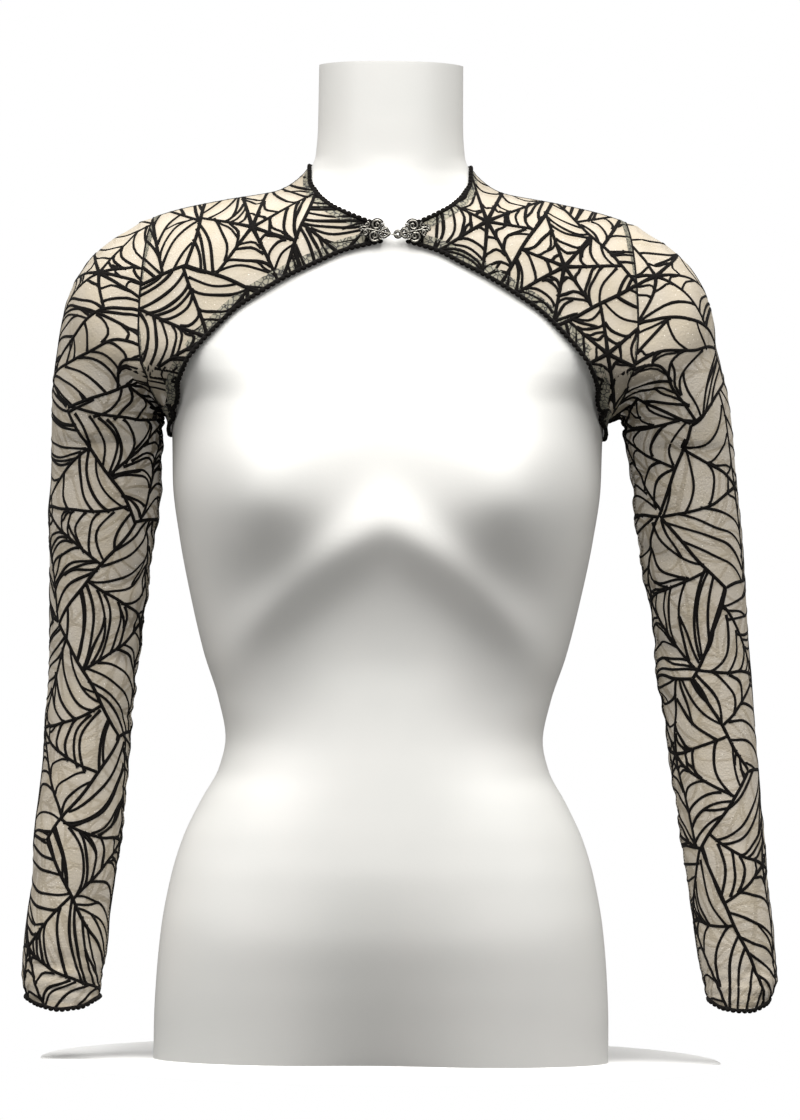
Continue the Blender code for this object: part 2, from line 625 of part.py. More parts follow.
def sleeve_fan(arm, loop):
    """Rings that turn from the armhole's loop to a level ring, on the wearer's left."""
    q = np.linspace(0, 1, FAN_RINGS + 1)
    outer = through(SHOULDER_SIDE + UPPER_ARM[arm], q)
    outer = outer - COVER * unit(np.stack([np.gradient(outer[:, 1]) * -1, np.gradient(outer[:, 0])], 1))
    first, last = SLEEVES[arm][0], loop[ARMHOLE_STEPS]
    inside = (first[2] + COVER, first[0])
    width = inside[0] - last[0]
    crotch = [(last[0] + out * width, last[2] + up * CROTCH_RISE) for out, up in CROTCH]
    inner = through((*crotch, inside), q)
    outer[0] = loop[0, 0], loop[0, 2]
    depth = along_rows(ARM_DEPTH, q)
    turn = np.arange(2 * ARMHOLE_STEPS) * math.pi / ARMHOLE_STEPS
    middle, reach = (outer + inner) / 2, (outer - inner) / 2
    rings = np.empty((len(q), len(turn), 3))
    rings[..., 0] = middle[:, :1] + reach[:, :1] * np.cos(turn)
    rings[..., 2] = middle[:, 1:] + reach[:, 1:] * np.cos(turn)
    rings[..., 1] = depth[:, 1:2] - depth[:, :1] * np.sin(turn)
    own_shape = (loop - rings[0])[None] * (1 - smooth(q / SETTLE))[:, None, None]
    rings = rings + own_shape
    return np.vstack([rings[:1], stub_cleared(rings[1:])])


def sleeve_tube(arm):
    """Level rings from under the arm to the wrist, on the wearer's left."""
    turn = np.arange(2 * ARMHOLE_STEPS) * math.pi / ARMHOLE_STEPS
    rings = []
    for height, outer, inner, half_depth, middle in SLEEVES[arm][1:]:
        centre, reach = (outer + inner) / 2, (outer - inner) / 2 - COVER
        ring = np.empty((len(turn), 3))
        ring[:, 0] = centre + reach * np.cos(turn)
        ring[:, 1] = middle - (half_depth - COVER) * np.sin(turn)
        ring[:, 2] = height
        rings.append(ring)
    return np.array(rings)


def creased(rings, normals, arm):
    """Sleeve rings with the soft creases pressed in."""
    around = np.degrees(np.arange(rings.shape[1]) * math.pi / ARMHOLE_STEPS)[None]
    height = rings[..., 2]
    press = np.zeros(rings.shape[:2])
    for middle, angle, depth, half_long, half_wide, slant in FOLDS[arm]:
        beside = (around - angle + 180.0) % 360.0 - 180.0
        level = (height - middle - slant * beside) / half_wide
        press += depth * np.exp(-level * level) * np.exp(-((beside / half_long) ** 2))
    return rings - normals * press[..., None]


def sleeve_grid(arm, front_edge, back_edge):
    """A sleeve on the wearer's left: its first ring is the armhole that the body's pieces leave."""
    loop = np.vstack([front_edge[: ARMHOLE_STEPS + 1], back_edge[ARMHOLE_STEPS - 1 : 0 : -1]])
    rings = np.vstack([sleeve_fan(arm, loop), sleeve_tube(arm)])
    normals = outward(grid_normals(rings, closed=True), rings)
    rings[FAN_RINGS - 1 :] = creased(rings, normals, arm)[FAN_RINGS - 1 :]
    return rings


def outward(normals, grid):
    """Normals turned to point away from the middle of each ring."""
    away = grid - grid.mean(axis=1, keepdims=True)
    facing = np.sign((normals * away)[len(grid) // 2].sum())
    return normals * facing


def mitred(one, other):
    """The direction two pieces share at a seam, longer where they meet at a sharp angle."""
    shared = unit(one + other)
    return shared / max(float(np.dot(shared, unit(one))), SHARPEST)


def skins_of(grid, normals):
    """Inner and outer face of the cloth on a grid of the body surface."""
    return grid + normals * GAP, grid + normals * COVER


def garment():
    """Inner and outer faces of every cloth piece, by name."""
    back = back_grid()
    back_normals = grid_normals(back)
    back_normals *= np.sign(back_normals[len(back) // 2, :, 1].sum())
    skins = {}
    for arm, sign in (("left", 1), ("right", -1)):
        panel = front_grid(sign)
        normals = grid_normals(panel)
        normals *= -np.sign(normals[len(panel) // 3, :, 1].sum())
        behind = back if sign > 0 else back[::-1]
        behind_normals = back_normals if sign > 0 else back_normals[::-1]
        flip = np.array([sign, 1.0, 1.0])
        sleeve = sleeve_grid(arm, panel[-1] * flip, behind[-1] * flip)
        sleeve_normals = outward(grid_normals(sleeve, closed=True), sleeve)
        sleeve, sleeve_normals = sleeve * flip, sleeve_normals * flip

        # pieces that meet at a seam share their normals there, so their walls stay side by side
        ridge = range(NECKLINE_STEPS, len(panel))
        for step, row in enumerate(ridge):
            other = len(behind) - len(ridge) + step
            normals[row, 0] = behind_normals[other, 0] = mitred(normals[row, 0], behind_normals[other, 0])
        for step in range(ARMHOLE_STEPS + 1, panel.shape[1]):
            shared = mitred(normals[-1, step], behind_normals[-1, step])
            normals[-1, step] = behind_normals[-1, step] = shared
        turns = 2 * ARMHOLE_STEPS
        for step in range(ARMHOLE_STEPS + 1):
            for own, place in ((normals, step), (behind_normals, (turns - step) % turns)):
                own[-1, step] = sleeve_normals[0, place] = mitred(own[-1, step], sleeve_normals[0, place])
        for step in (0, ARMHOLE_STEPS):
            shared = (normals[-1, step] + behind_normals[-1, step]) / 2
            normals[-1, step] = behind_normals[-1, step] = sleeve_normals[0, step] = shared
        skins["front_" + arm] = skins_of(panel, normals)
        skins["sleeve_" + arm] = skins_of(sleeve, sleeve_normals)
    skins["back"] = skins_of(back, back_normals)
    return skins


def bead_path(skins, rows, columns, inside, ring=False):
    """Middle line of a bead beside an edge: the edge's points moved square away from the piece."""
    inner, outer = skins
    edge = inner[rows, columns] + (outer[rows, columns] - inner[rows, columns]) * BEAD_LIFT
    beside = inner[inside] + (outer[inside] - inner[inside]) * BEAD_LIFT
    along = np.roll(edge, -1, axis=0) - np.roll(edge, 1, axis=0) if ring else np.gradient(edge, axis=0)
    square = unit(np.cross(along, outer[rows, columns] - inner[rows, columns]))
    square *= np.sign((square * (edge - beside)).sum(axis=-1, keepdims=True))
    return edge + square * (BEAD + BEAD_ROOM)


def edge_paths(skins):
    """The beads' middle lines by name, and whether each is a ring."""
    left, right, back = skins["front_left"], skins["front_right"], skins["back"]
    everything = slice(None)
    hem = [
        bead_path(right, everything, -1, (everything, -2)),
        bead_path(back, slice(1, -1), -1, (slice(1, -1), -2)),
        bead_path(left, everything, -1, (everything, -2))[::-1],
    ]
    collar = slice(0, NECKLINE_STEPS + 1)
    nape = slice(SHOULDER_STEPS + 1, -SHOULDER_STEPS - 1)
    neck = [
        bead_path(right, collar, 0, (collar, 1)),
        bead_path(back, nape, 0, (nape, 1)),
        bead_path(left, collar, 0, (collar, 1))[::-1],
    ]
    paths = {"hem_trim": (np.vstack(hem), False), "neck_trim": (np.vstack(neck), False)}
    for arm in ("left", "right"):
        sleeve = skins["sleeve_" + arm]
        ring = bead_path(sleeve, -1, everything, (-2, everything), ring=True)
        paths["cuff_trim_" + arm] = (ring, True)
    return paths


def face_out(mesh):
    """Turns every face of a closed mesh outwards."""
    work = bmesh.new()
    work.from_mesh(mesh)
    bmesh.ops.recalc_face_normals(work, faces=work.faces)
    work.to_mesh(mesh)
    work.free()


def add_object(name, mesh, material, parts):
    """An object for a finished mesh, shaded smooth but for its sharp edges."""
    mesh.shade_smooth()
    mesh.set_sharp_from_angle(angle=math.radians(40))
    piece = bpy.data.objects.new(name, mesh)
    piece.data.materials.append(material)
    parts.objects.link(piece)
    return piece


def tube_mesh(name, path, radius, closed=False, resolution=1):
    """A round bead or wire along a path, with filled ends, as a mesh."""
    curve = bpy.data.curves.new(name, "CURVE")
    curve.dimensions = "3D"
    curve.bevel_depth = radius
    curve.bevel_resolution = resolution
    curve.use_fill_caps = not closed
    spline = curve.splines.new("POLY")
    spline.points.add(len(path) - 1)
    for point, place in zip(spline.points, path):
        point.co = (*place, 1.0)
    spline.use_cyclic_u = closed
    guide = bpy.data.objects.new(name, curve)
    bpy.context.scene.collection.objects.link(guide)
    shape = bpy.data.meshes.new_from_object(guide.evaluated_get(bpy.context.evaluated_depsgraph_get()))
    bpy.data.objects.remove(guide)
    work = bmesh.new()
    work.from_mesh(shape)
    bmesh.ops.remove_doubles(work, verts=work.verts, dist=1e-6)
    bmesh.ops.recalc_face_normals(work, faces=work.faces)
    work.to_mesh(shape)
    work.free()
    return shape


def make_form(material, parts):
    """The dress form: rings closed by a flat base and a flat neck."""
    rings = form_rings()
    levels, around = rings.shape[:2]
    faces = [list(range(around)), [(levels - 1) * around + i for i in range(around)][::-1]]
    for level in range(levels - 1):
        for i in range(around):
            j = (i + 1) % around
            low, high = level * around, (level + 1) * around
            corners = [rings[level, i], rings[level + 1, i], rings[level + 1, j], rings[level, j]]
            away = np.cross(corners[2] - corners[0], corners[3] - corners[1])
            away *= np.sign(np.dot(away, sum(corners) / 4 - rings[level].mean(axis=0)))
            if farther_out(corners, away):
                faces += [[low + j, low + i, high + i], [low + j, high + i, high + j]]
            else:
                faces += [[low + i, high + i, high + j], [low + i, high + j, low + j]]
    mesh = bpy.data.meshes.new("dress_form")
    mesh.from_pydata(rings.reshape(-1, 3).tolist(), [], faces)
    face_out(mesh)
    return add_object("dress_form", mesh, material, parts)


def make_cloth(skins, material, parts):
    """Every cloth piece as a closed wall."""
    for name, pair in skins.items():
        closed = name.startswith("sleeve")
        inner, outer = pulled_in(pair, closed)
        mesh = wall_mesh(name, inner, outer, closed)
        face_out(mesh)
        add_object(name, mesh, material, parts)


def ring_mesh(place, ring, sides, forward=0.0):
    """A wire ring of the clasp, flat in the clasp's own plane."""
    major, minor = ring
    turn = (np.arange(sides) + 0.5) * 2 * math.pi / sides
    path = np.stack([major * np.cos(turn), np.zeros(sides), major * np.sin(turn)], axis=1)
    return tube_mesh("ring", path + np.array([place[0], -forward, place[1]]), minor, True)


def clasp_pieces(side):
    """The rings of one half of the clasp, along +X from its middle for side 1."""
    pieces = [
        ring_mesh((side * LOBE_AT[0], LOBE_AT[1]), LOBE, 14, LAP),
        ring_mesh((side * LOBE_AT[0], -LOBE_AT[1]), LOBE, 14, -LAP),
        ring_mesh((side * DIAMOND_AT, 0.0), DIAMOND, 9),
    ]
    for number, degrees in enumerate(LEAF_ANGLES):
        angle = math.radians(degrees)
        along, above = LEAF_REACH * math.cos(angle), LEAF_REACH * LEAF_SPREAD * math.sin(angle)
        place = (side * (LEAF_AT + along), above)
        pieces.append(ring_mesh(place, LEAF, 8, LAP * (number - 1)))
    spine = [(side * (DIAMOND_AT + DIAMOND[0]), 0.0, 0.0), (side * (LEAF_AT + SPINE_TO), 0.0, 0.0)]
    pieces.append(tube_mesh("spine", spine, LEAF[1]))
    if side > 0:
        pieces.append(ring_mesh((EYE_AT, 0.0), EYE, 10))
    else:
        pieces.append(tube_mesh("hook", [(x, y, 0.0) for x, y in HOOK_PATH], HOOK_WIRE))
    return pieces


def make_clasp(name, side, cloth_y, material, parts, cutters):
    """One half of the clasp: its rings joined into one body, tilted and set before the cloth."""
    shapes = clasp_pieces(side)
    objects = []
    for shape in shapes:
        other = bpy.data.objects.new(name + "_ring", shape)
        objects.append(other)
    piece = objects[0]
    piece.name = name
    parts.objects.link(piece)
    for other in objects[1:]:
        cutters.objects.link(other)
        other.hide_render = True
        other.display_type = "WIRE"
        join = piece.modifiers.new("join", "BOOLEAN")
        join.operation = "UNION"
        join.object = other
    place = Matrix.Translation(Vector((CENTRE_SHIFT, cloth_y - CLASP_STAND, CLASP_HEIGHT)))
    turn = Matrix.Rotation(-side * CLASP_TILT, 4, "Y")
    for one in objects:
        one.matrix_world = place @ turn
    bpy.context.view_layer.update()
    joined = bpy.data.meshes.new_from_object(piece.evaluated_get(bpy.context.evaluated_depsgraph_get()))
    piece.modifiers.clear()
    piece.data = joined
    joined.name = name
    joined.materials.clear()
    joined.materials.append(material)
    joined.shade_smooth()
    joined.set_sharp_from_angle(angle=math.radians(50))
    return piece


def material(name, colour, roughness, metallic=0.0, alpha=1.0):
    """A plain material with one colour."""
    made = bpy.data.materials.new(name)
    made.use_nodes = True
    shader = made.node_tree.nodes["Principled BSDF"]
    shader.inputs["Base Color"].default_value = (*colour, 1.0)
    shader.inputs["Roughness"].default_value = roughness
    shader.inputs["Metallic"].default_value = metallic
    shader.inputs["Alpha"].default_value = alpha
    return made


def main():
    for old in list(bpy.data.objects):
        bpy.data.objects.remove(old)
    parts = bpy.data.collections.new(PART_NAME)
    cutters = bpy.data.collections.new("cutters")
    bpy.context.scene.collection.children.link(parts)
    bpy.context.scene.collection.children.link(cutters)

    gloss_white = material("gloss white fibreglass", (0.80, 0.79, 0.76), 0.25)
    net = material("beige stretch net", (0.50, 0.43, 0.33), 0.75)
    black = material("black picot elastic", (0.012, 0.011, 0.010), 0.8)
    silver = material("antique silver", (0.55, 0.54, 0.52), 0.35, 1.0)

    make_form(gloss_white, parts)
    skins = garment()
    make_cloth(skins, net, parts)
    for name, (path, closed) in edge_paths(skins).items():
        add_object(name, tube_mesh(name, path, BEAD, closed), black, parts)
    tip = skins["front_left"][1][0, :, 1].min()
    make_clasp("clasp_left", 1, tip, silver, parts, cutters)
    make_clasp("clasp_right", -1, tip, silver, parts, cutters)


main()
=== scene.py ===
"""Dresses the bolero and its form: sheer net with raised web lines, picot edging and a filigree clasp.

Metres, +Z up. The form looks along -Y, and +X is the wearer's left. The cloth's base surface comes
from level sections of the body, as the solids' does, in finer steps.
"""

import functools
import math

import bmesh
import bpy
import numpy as np
from bpy.props import FloatProperty, FloatVectorProperty, IntProperty, PointerProperty
from mathutils import Matrix, Vector
from mathutils.bvhtree import BVHTree


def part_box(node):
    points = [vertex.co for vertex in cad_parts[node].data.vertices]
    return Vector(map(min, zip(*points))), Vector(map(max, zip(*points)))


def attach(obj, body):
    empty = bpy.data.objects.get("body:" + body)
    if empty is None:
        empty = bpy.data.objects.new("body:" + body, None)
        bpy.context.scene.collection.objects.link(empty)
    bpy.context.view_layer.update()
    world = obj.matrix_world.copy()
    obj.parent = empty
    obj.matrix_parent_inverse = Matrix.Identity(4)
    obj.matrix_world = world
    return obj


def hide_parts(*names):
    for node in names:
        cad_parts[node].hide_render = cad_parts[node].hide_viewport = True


bl_info = {
    "name": "Web net bolero",
    "version": (1, 0, 0),
    "blender": (4, 5, 0),
    "location": "View3D > Sidebar > Bolero",
    "description": "Makes a sheer web net bolero on a limbless dress form",
    "category": "Object",
}

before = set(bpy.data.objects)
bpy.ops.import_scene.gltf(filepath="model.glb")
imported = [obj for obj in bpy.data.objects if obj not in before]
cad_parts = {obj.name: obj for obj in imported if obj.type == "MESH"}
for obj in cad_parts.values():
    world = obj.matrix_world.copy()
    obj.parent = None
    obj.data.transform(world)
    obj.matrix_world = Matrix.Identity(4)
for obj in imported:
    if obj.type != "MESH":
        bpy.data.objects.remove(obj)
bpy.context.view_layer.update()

# Cloth, in metres
WALL = 0.0012
GAP = 0.0012  # between the cloth and the form
COVER = GAP + WALL
MIDDLE = GAP + WALL / 2  # the thin net lies in the middle of its solid's wall
SHARPEST = 0.6  # keeps a seam's shared direction from growing too long

# Fineness of the grids
FORM_HALF = 84
NECKLINE_STEPS = 28
SHOULDER_STEPS = 32
BACK_NECK_STEPS = 44
ARMHOLE_STEPS = 44
SIDE_STEPS = 6
FAN_RINGS = 40
TUBE_RINGS = 150

# Level sections of the body: height, half width, front, back, middle, squareness
TORSO = (
    (0.000, 0.1740, 0.090, 0.112, 0.000, 2.1),
    (0.030, 0.1738, 0.094, 0.116, 0.000, 2.1),
    (0.060, 0.1725, 0.098, 0.118, 0.000, 2.1),
    (0.100, 0.1690, 0.1015, 0.115, 0.000, 2.1),
    (0.138, 0.1622, 0.1005, 0.106, 0.000, 2.05),
    (0.168, 0.1534, 0.0985, 0.097, 0.000, 2.0),
    (0.199, 0.1388, 0.0955, 0.087, 0.000, 2.0),
    (0.222, 0.1262, 0.0930, 0.080, 0.000, 2.0),
    (0.245, 0.1213, 0.0905, 0.075, 0.000, 2.0),
    (0.275, 0.1270, 0.088, 0.073, 0.000, 2.0),
    (0.310, 0.1385, 0.086, 0.076, 0.000, 2.05),
    (0.352, 0.1488, 0.086, 0.083, 0.000, 2.1),
    (0.398, 0.1580, 0.088, 0.092, 0.000, 2.15),
    (0.440, 0.1636, 0.091, 0.097, 0.000, 2.2),
    (0.474, 0.1645, 0.094, 0.100, 0.002, 2.2),
    (0.500, 0.1670, 0.094, 0.100, 0.004, 2.25),
    (0.526, 0.1830, 0.093, 0.099, 0.008, 2.6),
)
SHOULDER = (
    (0.540, 0.2420, 0.0920, 0.0985, 0.0090, 2.0),
    (0.555, 0.2425, 0.0905, 0.0975, 0.0100, 2.0),
    (0.580, 0.2410, 0.0870, 0.0950, 0.0120, 1.9),
    (0.595, 0.2355, 0.0845, 0.0925, 0.0130, 1.85),
    (0.610, 0.2255, 0.0810, 0.0895, 0.0140, 1.75),
    (0.625, 0.2080, 0.0770, 0.0860, 0.0145, 1.6),
    (0.633, 0.1950, 0.0745, 0.0835, 0.0150, 1.5),
    (0.641, 0.1810, 0.0720, 0.0805, 0.0150, 1.35),
    (0.648, 0.1600, 0.0695, 0.0775, 0.0150, 1.2),
    (0.6555, 0.1250, 0.0665, 0.0740, 0.0145, 1.05),
    (0.663, 0.0850, 0.0635, 0.0705, 0.0140, 1.2),
    (0.671, 0.0710, 0.0608, 0.0670, 0.0135, 1.35),
    (0.681, 0.0615, 0.0583, 0.0635, 0.0130, 1.5),
    (0.692, 0.0572, 0.0568, 0.0605, 0.0125, 1.6),
    (0.715, 0.0556, 0.0560, 0.0590, 0.0120, 1.6),
    (0.763, 0.0552, 0.0555, 0.0580, 0.0120, 1.6),
)
UNDERARM = (
    (0.440, 0.1636, 0.0910, 0.0970, 0.0000, 2.2),
    (0.474, 0.1646, 0.0940, 0.1000, 0.0020, 2.2),
    (0.489, 0.1668, 0.0940, 0.1000, 0.0030, 2.25),
    (0.497, 0.1740, 0.0940, 0.1000, 0.0040, 2.3),
    (0.506, 0.1820, 0.0938, 0.0998, 0.0050, 2.4),
    (0.5165, 0.1945, 0.0935, 0.0995, 0.0065, 2.6),
    (0.527, 0.2250, 0.0930, 0.0990, 0.0080, 2.3),
)
ROUNDNESS = 0.030  # how softly a section turns at the middle of the front

# Arm stubs: the half width where they start, their share of a half ring, and how far the cut slopes
CORE = 0.170
STUB_START = 0.55
STUB_DROP = -0.0110
STUB_RIM = 0.0016
LEVEL_TRIES, HALVINGS = 3, 18

# Relief of the torso: place, height or depth, and widths of each soft form
BUST_X, BUST_Z = 0.093, 0.430
BUST_RISE = 0.036
BUST_WIDE, BUST_UP, BUST_DOWN = 0.050, 0.074, 0.060
BUST_EDGE = 2.2
STERNUM_RISE, STERNUM_WIDE = 0.012, 0.055
STERNUM_Z, STERNUM_TALL = 0.405, 0.062
RIB_RISE, RIB_TOP, RIB_SLOPE, RIB_TALL = 0.008, 0.416, 0.80, 0.024
RIB_END, RIB_FADE, RIB_ROUND = 0.140, 0.060, 0.012
WAIST_DEPTH, WAIST_X, WAIST_Z = 0.006, 0.080, 0.265
WAIST_WIDE, WAIST_TALL = 0.034, 0.055
SPINE_DEPTH, SPINE_WIDE = 0.006, 0.022
SPINE_TOP, SPINE_FADE = 0.62, 0.10
GROIN_DEPTH, GROIN_WIDE = 0.022, 0.062
GROIN_TOP, GROIN_POWER = 0.150, 1.6

# Cut edges of the cloth seen from the front: x, height
NECKLINE = (
    (0.0150, 0.6350),
    (0.0225, 0.6380),
    (0.0360, 0.6440),
    (0.0472, 0.6500),
    (0.0560, 0.6590),
    (0.0608, 0.6695),
    (0.0610, 0.6816),
)
HEM = (
    (0.0110, 0.6240),
    (0.0360, 0.6170),
    (0.0550, 0.6078),
    (0.0770, 0.5968),
    (0.0955, 0.5858),
    (0.1140, 0.5733),
    (0.1287, 0.5596),
    (0.1423, 0.5455),
    (0.1512, 0.5337),
    (0.1568, 0.5242),
    (0.1608, 0.5127),
    (0.1625, 0.4995),
    (0.1636, 0.4870),
    (0.1650, 0.4785),
)
ARMHOLE = (
    (0.1805, 0.6413),
    (0.1840, 0.6270),
    (0.1872, 0.6000),
    (0.1888, 0.5750),
    (0.1890, 0.5520),
    (0.1868, 0.5300),
    (0.1822, 0.5165),
    (0.1770, 0.5060),
    (0.1718, 0.4970),
    (0.1668, 0.4890),
)
BACK_HEM = 0.4785
BACK_NECK = 0.6816
CENTRE_SHIFT = 0.0042  # the clasp sits this far to the wearer's left
SHIFT_REACH = 0.050
LOOSE_POWER = 6  # how late, towards the armhole, the cloth leaves the form
RIM_LIFT, RIM_REACH, RIM_X = 0.0018, 0.016, 0.125  # the cloth clears the rim of the stub's cut face
BOW_POWER = 3

# Sleeves: outer silhouette, and level sections (height, outer, inner, half depth, middle)
SHOULDER_SIDE = (
    (0.1866, 0.6436),
    (0.1985, 0.6350),
    (0.2115, 0.6273),
    (0.2290, 0.6120),
    (0.2395, 0.5967),
    (0.2462, 0.5814),
    (0.2500, 0.5660),
)
UPPER_ARM = {
    "right": ((0.2525, 0.5510), (0.2545, 0.5355), (0.2570, 0.5200), (0.2578, 0.5000), (0.2580, 0.4743)),
    "left": ((0.2510, 0.5510), (0.2550, 0.5355), (0.2592, 0.5200), (0.2630, 0.5000), (0.2660, 0.4743)),
}
SLEEVES = {
    "right": (
        (0.4743, 0.2580, 0.1716, 0.0460, 0.0120),
        (0.4437, 0.2577, 0.1712, 0.0435, 0.0125),
        (0.4131, 0.2597, 0.1738, 0.0420, 0.0130),
        (0.3825, 0.2586, 0.1780, 0.0405, 0.0135),
        (0.3519, 0.2583, 0.1810, 0.0395, 0.0140),
        (0.3213, 0.2580, 0.1853, 0.0385, 0.0140),
        (0.2907, 0.2584, 0.1880, 0.0380, 0.0130),
        (0.2601, 0.2604, 0.1916, 0.0370, 0.0110),
        (0.2295, 0.2616, 0.1942, 0.0365, 0.0080),
        (0.1989, 0.2643, 0.1962, 0.0360, 0.0045),
        (0.1683, 0.2678, 0.1990, 0.0350, 0.0005),
        (0.1377, 0.2683, 0.2040, 0.0335, -0.0035),
        (0.1071, 0.2717, 0.2075, 0.0320, -0.0075),
        (0.0765, 0.2745, 0.2095, 0.0305, -0.0115),
        (0.0560, 0.2755, 0.2126, 0.0300, -0.0140),
        (0.0395, 0.2725, 0.2136, 0.0290, -0.0160),
    ),
    "left": (
        (0.4743, 0.2660, 0.1811, 0.0460, 0.0120),
        (0.4437, 0.2686, 0.1858, 0.0435, 0.0125),
        (0.4131, 0.2724, 0.1890, 0.0420, 0.0130),
        (0.3825, 0.2750, 0.1942, 0.0405, 0.0135),
        (0.3519, 0.2772, 0.1999, 0.0395, 0.0140),
        (0.3213, 0.2791, 0.2049, 0.0385, 0.0140),
        (0.2907, 0.2817, 0.2075, 0.0380, 0.0130),
        (0.2601, 0.2843, 0.2136, 0.0370, 0.0110),
        (0.2295, 0.2870, 0.2173, 0.0365, 0.0080),
        (0.1989, 0.2896, 0.2230, 0.0360, 0.0045),
        (0.1683, 0.2929, 0.2271, 0.0350, 0.0005),
        (0.1377, 0.2950, 0.2325, 0.0335, -0.0035),
        (0.1071, 0.2990, 0.2370, 0.0320, -0.0075),
        (0.0765, 0.3015, 0.2411, 0.0305, -0.0115),
        (0.0600, 0.3028, 0.2440, 0.0300, -0.0140),
        (0.0435, 0.2985, 0.2470, 0.0285, -0.0160),
    ),
}
ARM_DEPTH = ((0.0, 0.0610, 0.0120), (0.35, 0.0600, 0.0120), (0.7, 0.0535, 0.0120), (1.0, 0.0460, 0.0120))
# Underarm: the sleeve's lowest line there, how far it rises, and where the armhole's own shape ends
CROTCH_RISE = 0.0065
CROTCH = ((0.0, 0.0), (0.25, 0.45), (0.55, 0.8), (0.85, 0.35), (0.98, -0.6))
SETTLE = 0.7
CUFF_BOW, CUFF_REACH = 0.012, 0.13  # the wrist's front and back hang lower than its sides
STUB_CLEAR = 0.0008
FOLD_START = 0.485  # creases lie below this height

# Ripples along each sleeve's inner side, and gathers at its wrist
RIPPLE_ANGLE, RIPPLE_SPREAD, RIPPLE_END = 178.0, 34.0, 0.13
RIPPLE_PITCH, RIPPLE_DEPTH = 0.0165, 0.0011
GATHER_TOP, GATHER_PITCH, GATHER_DEPTH = 0.098, 0.0088, 0.0010
SLEEVE_LAG = {"left": 0.9, "right": 2.3}  # keeps the two sleeves from matching

# Main creases of a sleeve: height, degrees round it, depth, half length, half width, climb
FOLDS = {
    "right": (
        (0.452, 150.0, 0.0024, 34.0, 0.006, 0.00020),
        (0.434, 140.0, 0.0018, 30.0, 0.007, 0.00026),
        (0.402, 155.0, 0.0020, 36.0, 0.007, -0.00015),
        (0.368, 150.0, 0.0022, 40.0, 0.008, 0.00018),
        (0.333, 160.0, 0.0020, 38.0, 0.007, 0.00022),
        (0.300, 150.0, 0.0024, 46.0, 0.008, -0.00020),
        (0.262, 165.0, 0.0018, 36.0, 0.008, 0.00016),
        (0.190, 60.0, 0.0012, 50.0, 0.010, 0.00024),
        (0.118, 130.0, 0.0014, 44.0, 0.009, -0.00018),
        (0.072, 80.0, 0.0014, 50.0, 0.007, 0.00012),
        (0.445, 215.0, 0.0020, 36.0, 0.007, -0.00022),
        (0.352, 225.0, 0.0018, 42.0, 0.008, 0.00018),
        (0.286, 210.0, 0.0020, 40.0, 0.008, -0.00016),
    ),
    "left": (
        (0.448, 152.0, 0.0024, 34.0, 0.006, -0.00020),
        (0.428, 142.0, 0.0018, 32.0, 0.007, 0.00022),
        (0.392, 150.0, 0.0022, 38.0, 0.007, 0.00018),
        (0.355, 162.0, 0.0018, 34.0, 0.008, -0.00020),
        (0.318, 150.0, 0.0024, 44.0, 0.008, 0.00022),
        (0.276, 158.0, 0.0020, 40.0, 0.008, 0.00016),
        (0.236, 145.0, 0.0014, 40.0, 0.009, -0.00018),
        (0.170, 70.0, 0.0012, 46.0, 0.010, 0.00020),
        (0.104, 120.0, 0.0014, 48.0, 0.009, 0.00016),
        (0.074, 60.0, 0.0012, 44.0, 0.007, -0.00014),
        (0.440, 220.0, 0.0020, 34.0, 0.007, 0.00020),
        (0.340, 212.0, 0.0020, 42.0, 0.008, -0.00018),
        (0.270, 222.0, 0.0018, 38.0, 0.008, 0.00020),
    ),
}

# How far apart each piece's strands lie, over the usual space
OPENNESS = {"sleeve_right": 1.12, "sleeve_left": 1.34, "front_right": 0.9, "front_left": 0.9, "back": 0.9}
BODY_WIDTH = 1.12  # how much wider the strands are on the body than on the sleeves

# Web layout of each piece: a hub's place, its number of threads, and its first thread's angle.
# On the body the place is x and height. On a sleeve it is degrees round and metres above the wrist.
WEBS = {
    "front_right": (
        (0.104, 0.634, 7, 12.0),
        (0.136, 0.549, 6, 20.0),
        (0.184, 0.654, 6, 200.0),
        (0.036, 0.612, 4, 40.0),
    ),
    "front_left": (
        (0.074, 0.640, 8, 25.0),
        (0.133, 0.606, 7, 50.0),
        (0.180, 0.650, 6, 195.0),
        (0.166, 0.540, 6, 40.0),
    ),
    "back": (
        (-0.150, 0.630, 7, 20.0),
        (-0.050, 0.596, 7, 55.0),
        (0.070, 0.640, 7, 5.0),
        (0.160, 0.585, 6, 35.0),
        (-0.125, 0.510, 7, 70.0),
        (0.040, 0.510, 7, 15.0),
    ),
    "sleeve_right": (
        (38.0, 0.565, 8, 250.0),
        (118.0, 0.528, 7, 10.0),
        (172.0, 0.450, 9, 95.0),
        (6.0, 0.375, 8, 330.0),
        (166.0, 0.290, 7, 150.0),
        (12.0, 0.205, 8, 20.0),
        (168.0, 0.120, 7, 100.0),
        (30.0, 0.040, 6, 340.0),
        (262.0, 0.520, 7, 20.0),
        (270.0, 0.320, 7, 45.0),
        (262.0, 0.150, 7, 0.0),
    ),
    "sleeve_left": (
        (48.0, 0.575, 7, 265.0),
        (120.0, 0.512, 7, 40.0),
        (176.0, 0.440, 8, 80.0),
        (20.0, 0.395, 6, 345.0),
        (165.0, 0.310, 6, 110.0),
        (5.0, 0.250, 7, 10.0),
        (150.0, 0.190, 7, 160.0),
        (28.0, 0.105, 6, 25.0),
        (172.0, 0.060, 6, 120.0),
        (268.0, 0.500, 7, 30.0),
        (262.0, 0.300, 7, 5.0),
        (275.0, 0.130, 7, 50.0),
    ),
}
SLEEVE_ROUND = 0.250  # the sleeve's girth on the web's chart
BORDER_REACH, BORDER_WIDTH = 0.14, 1.28  # half a border's length at most, and its width over a strand's
NEIGHBOUR_REACH = 0.30  # hubs further apart than this share no border
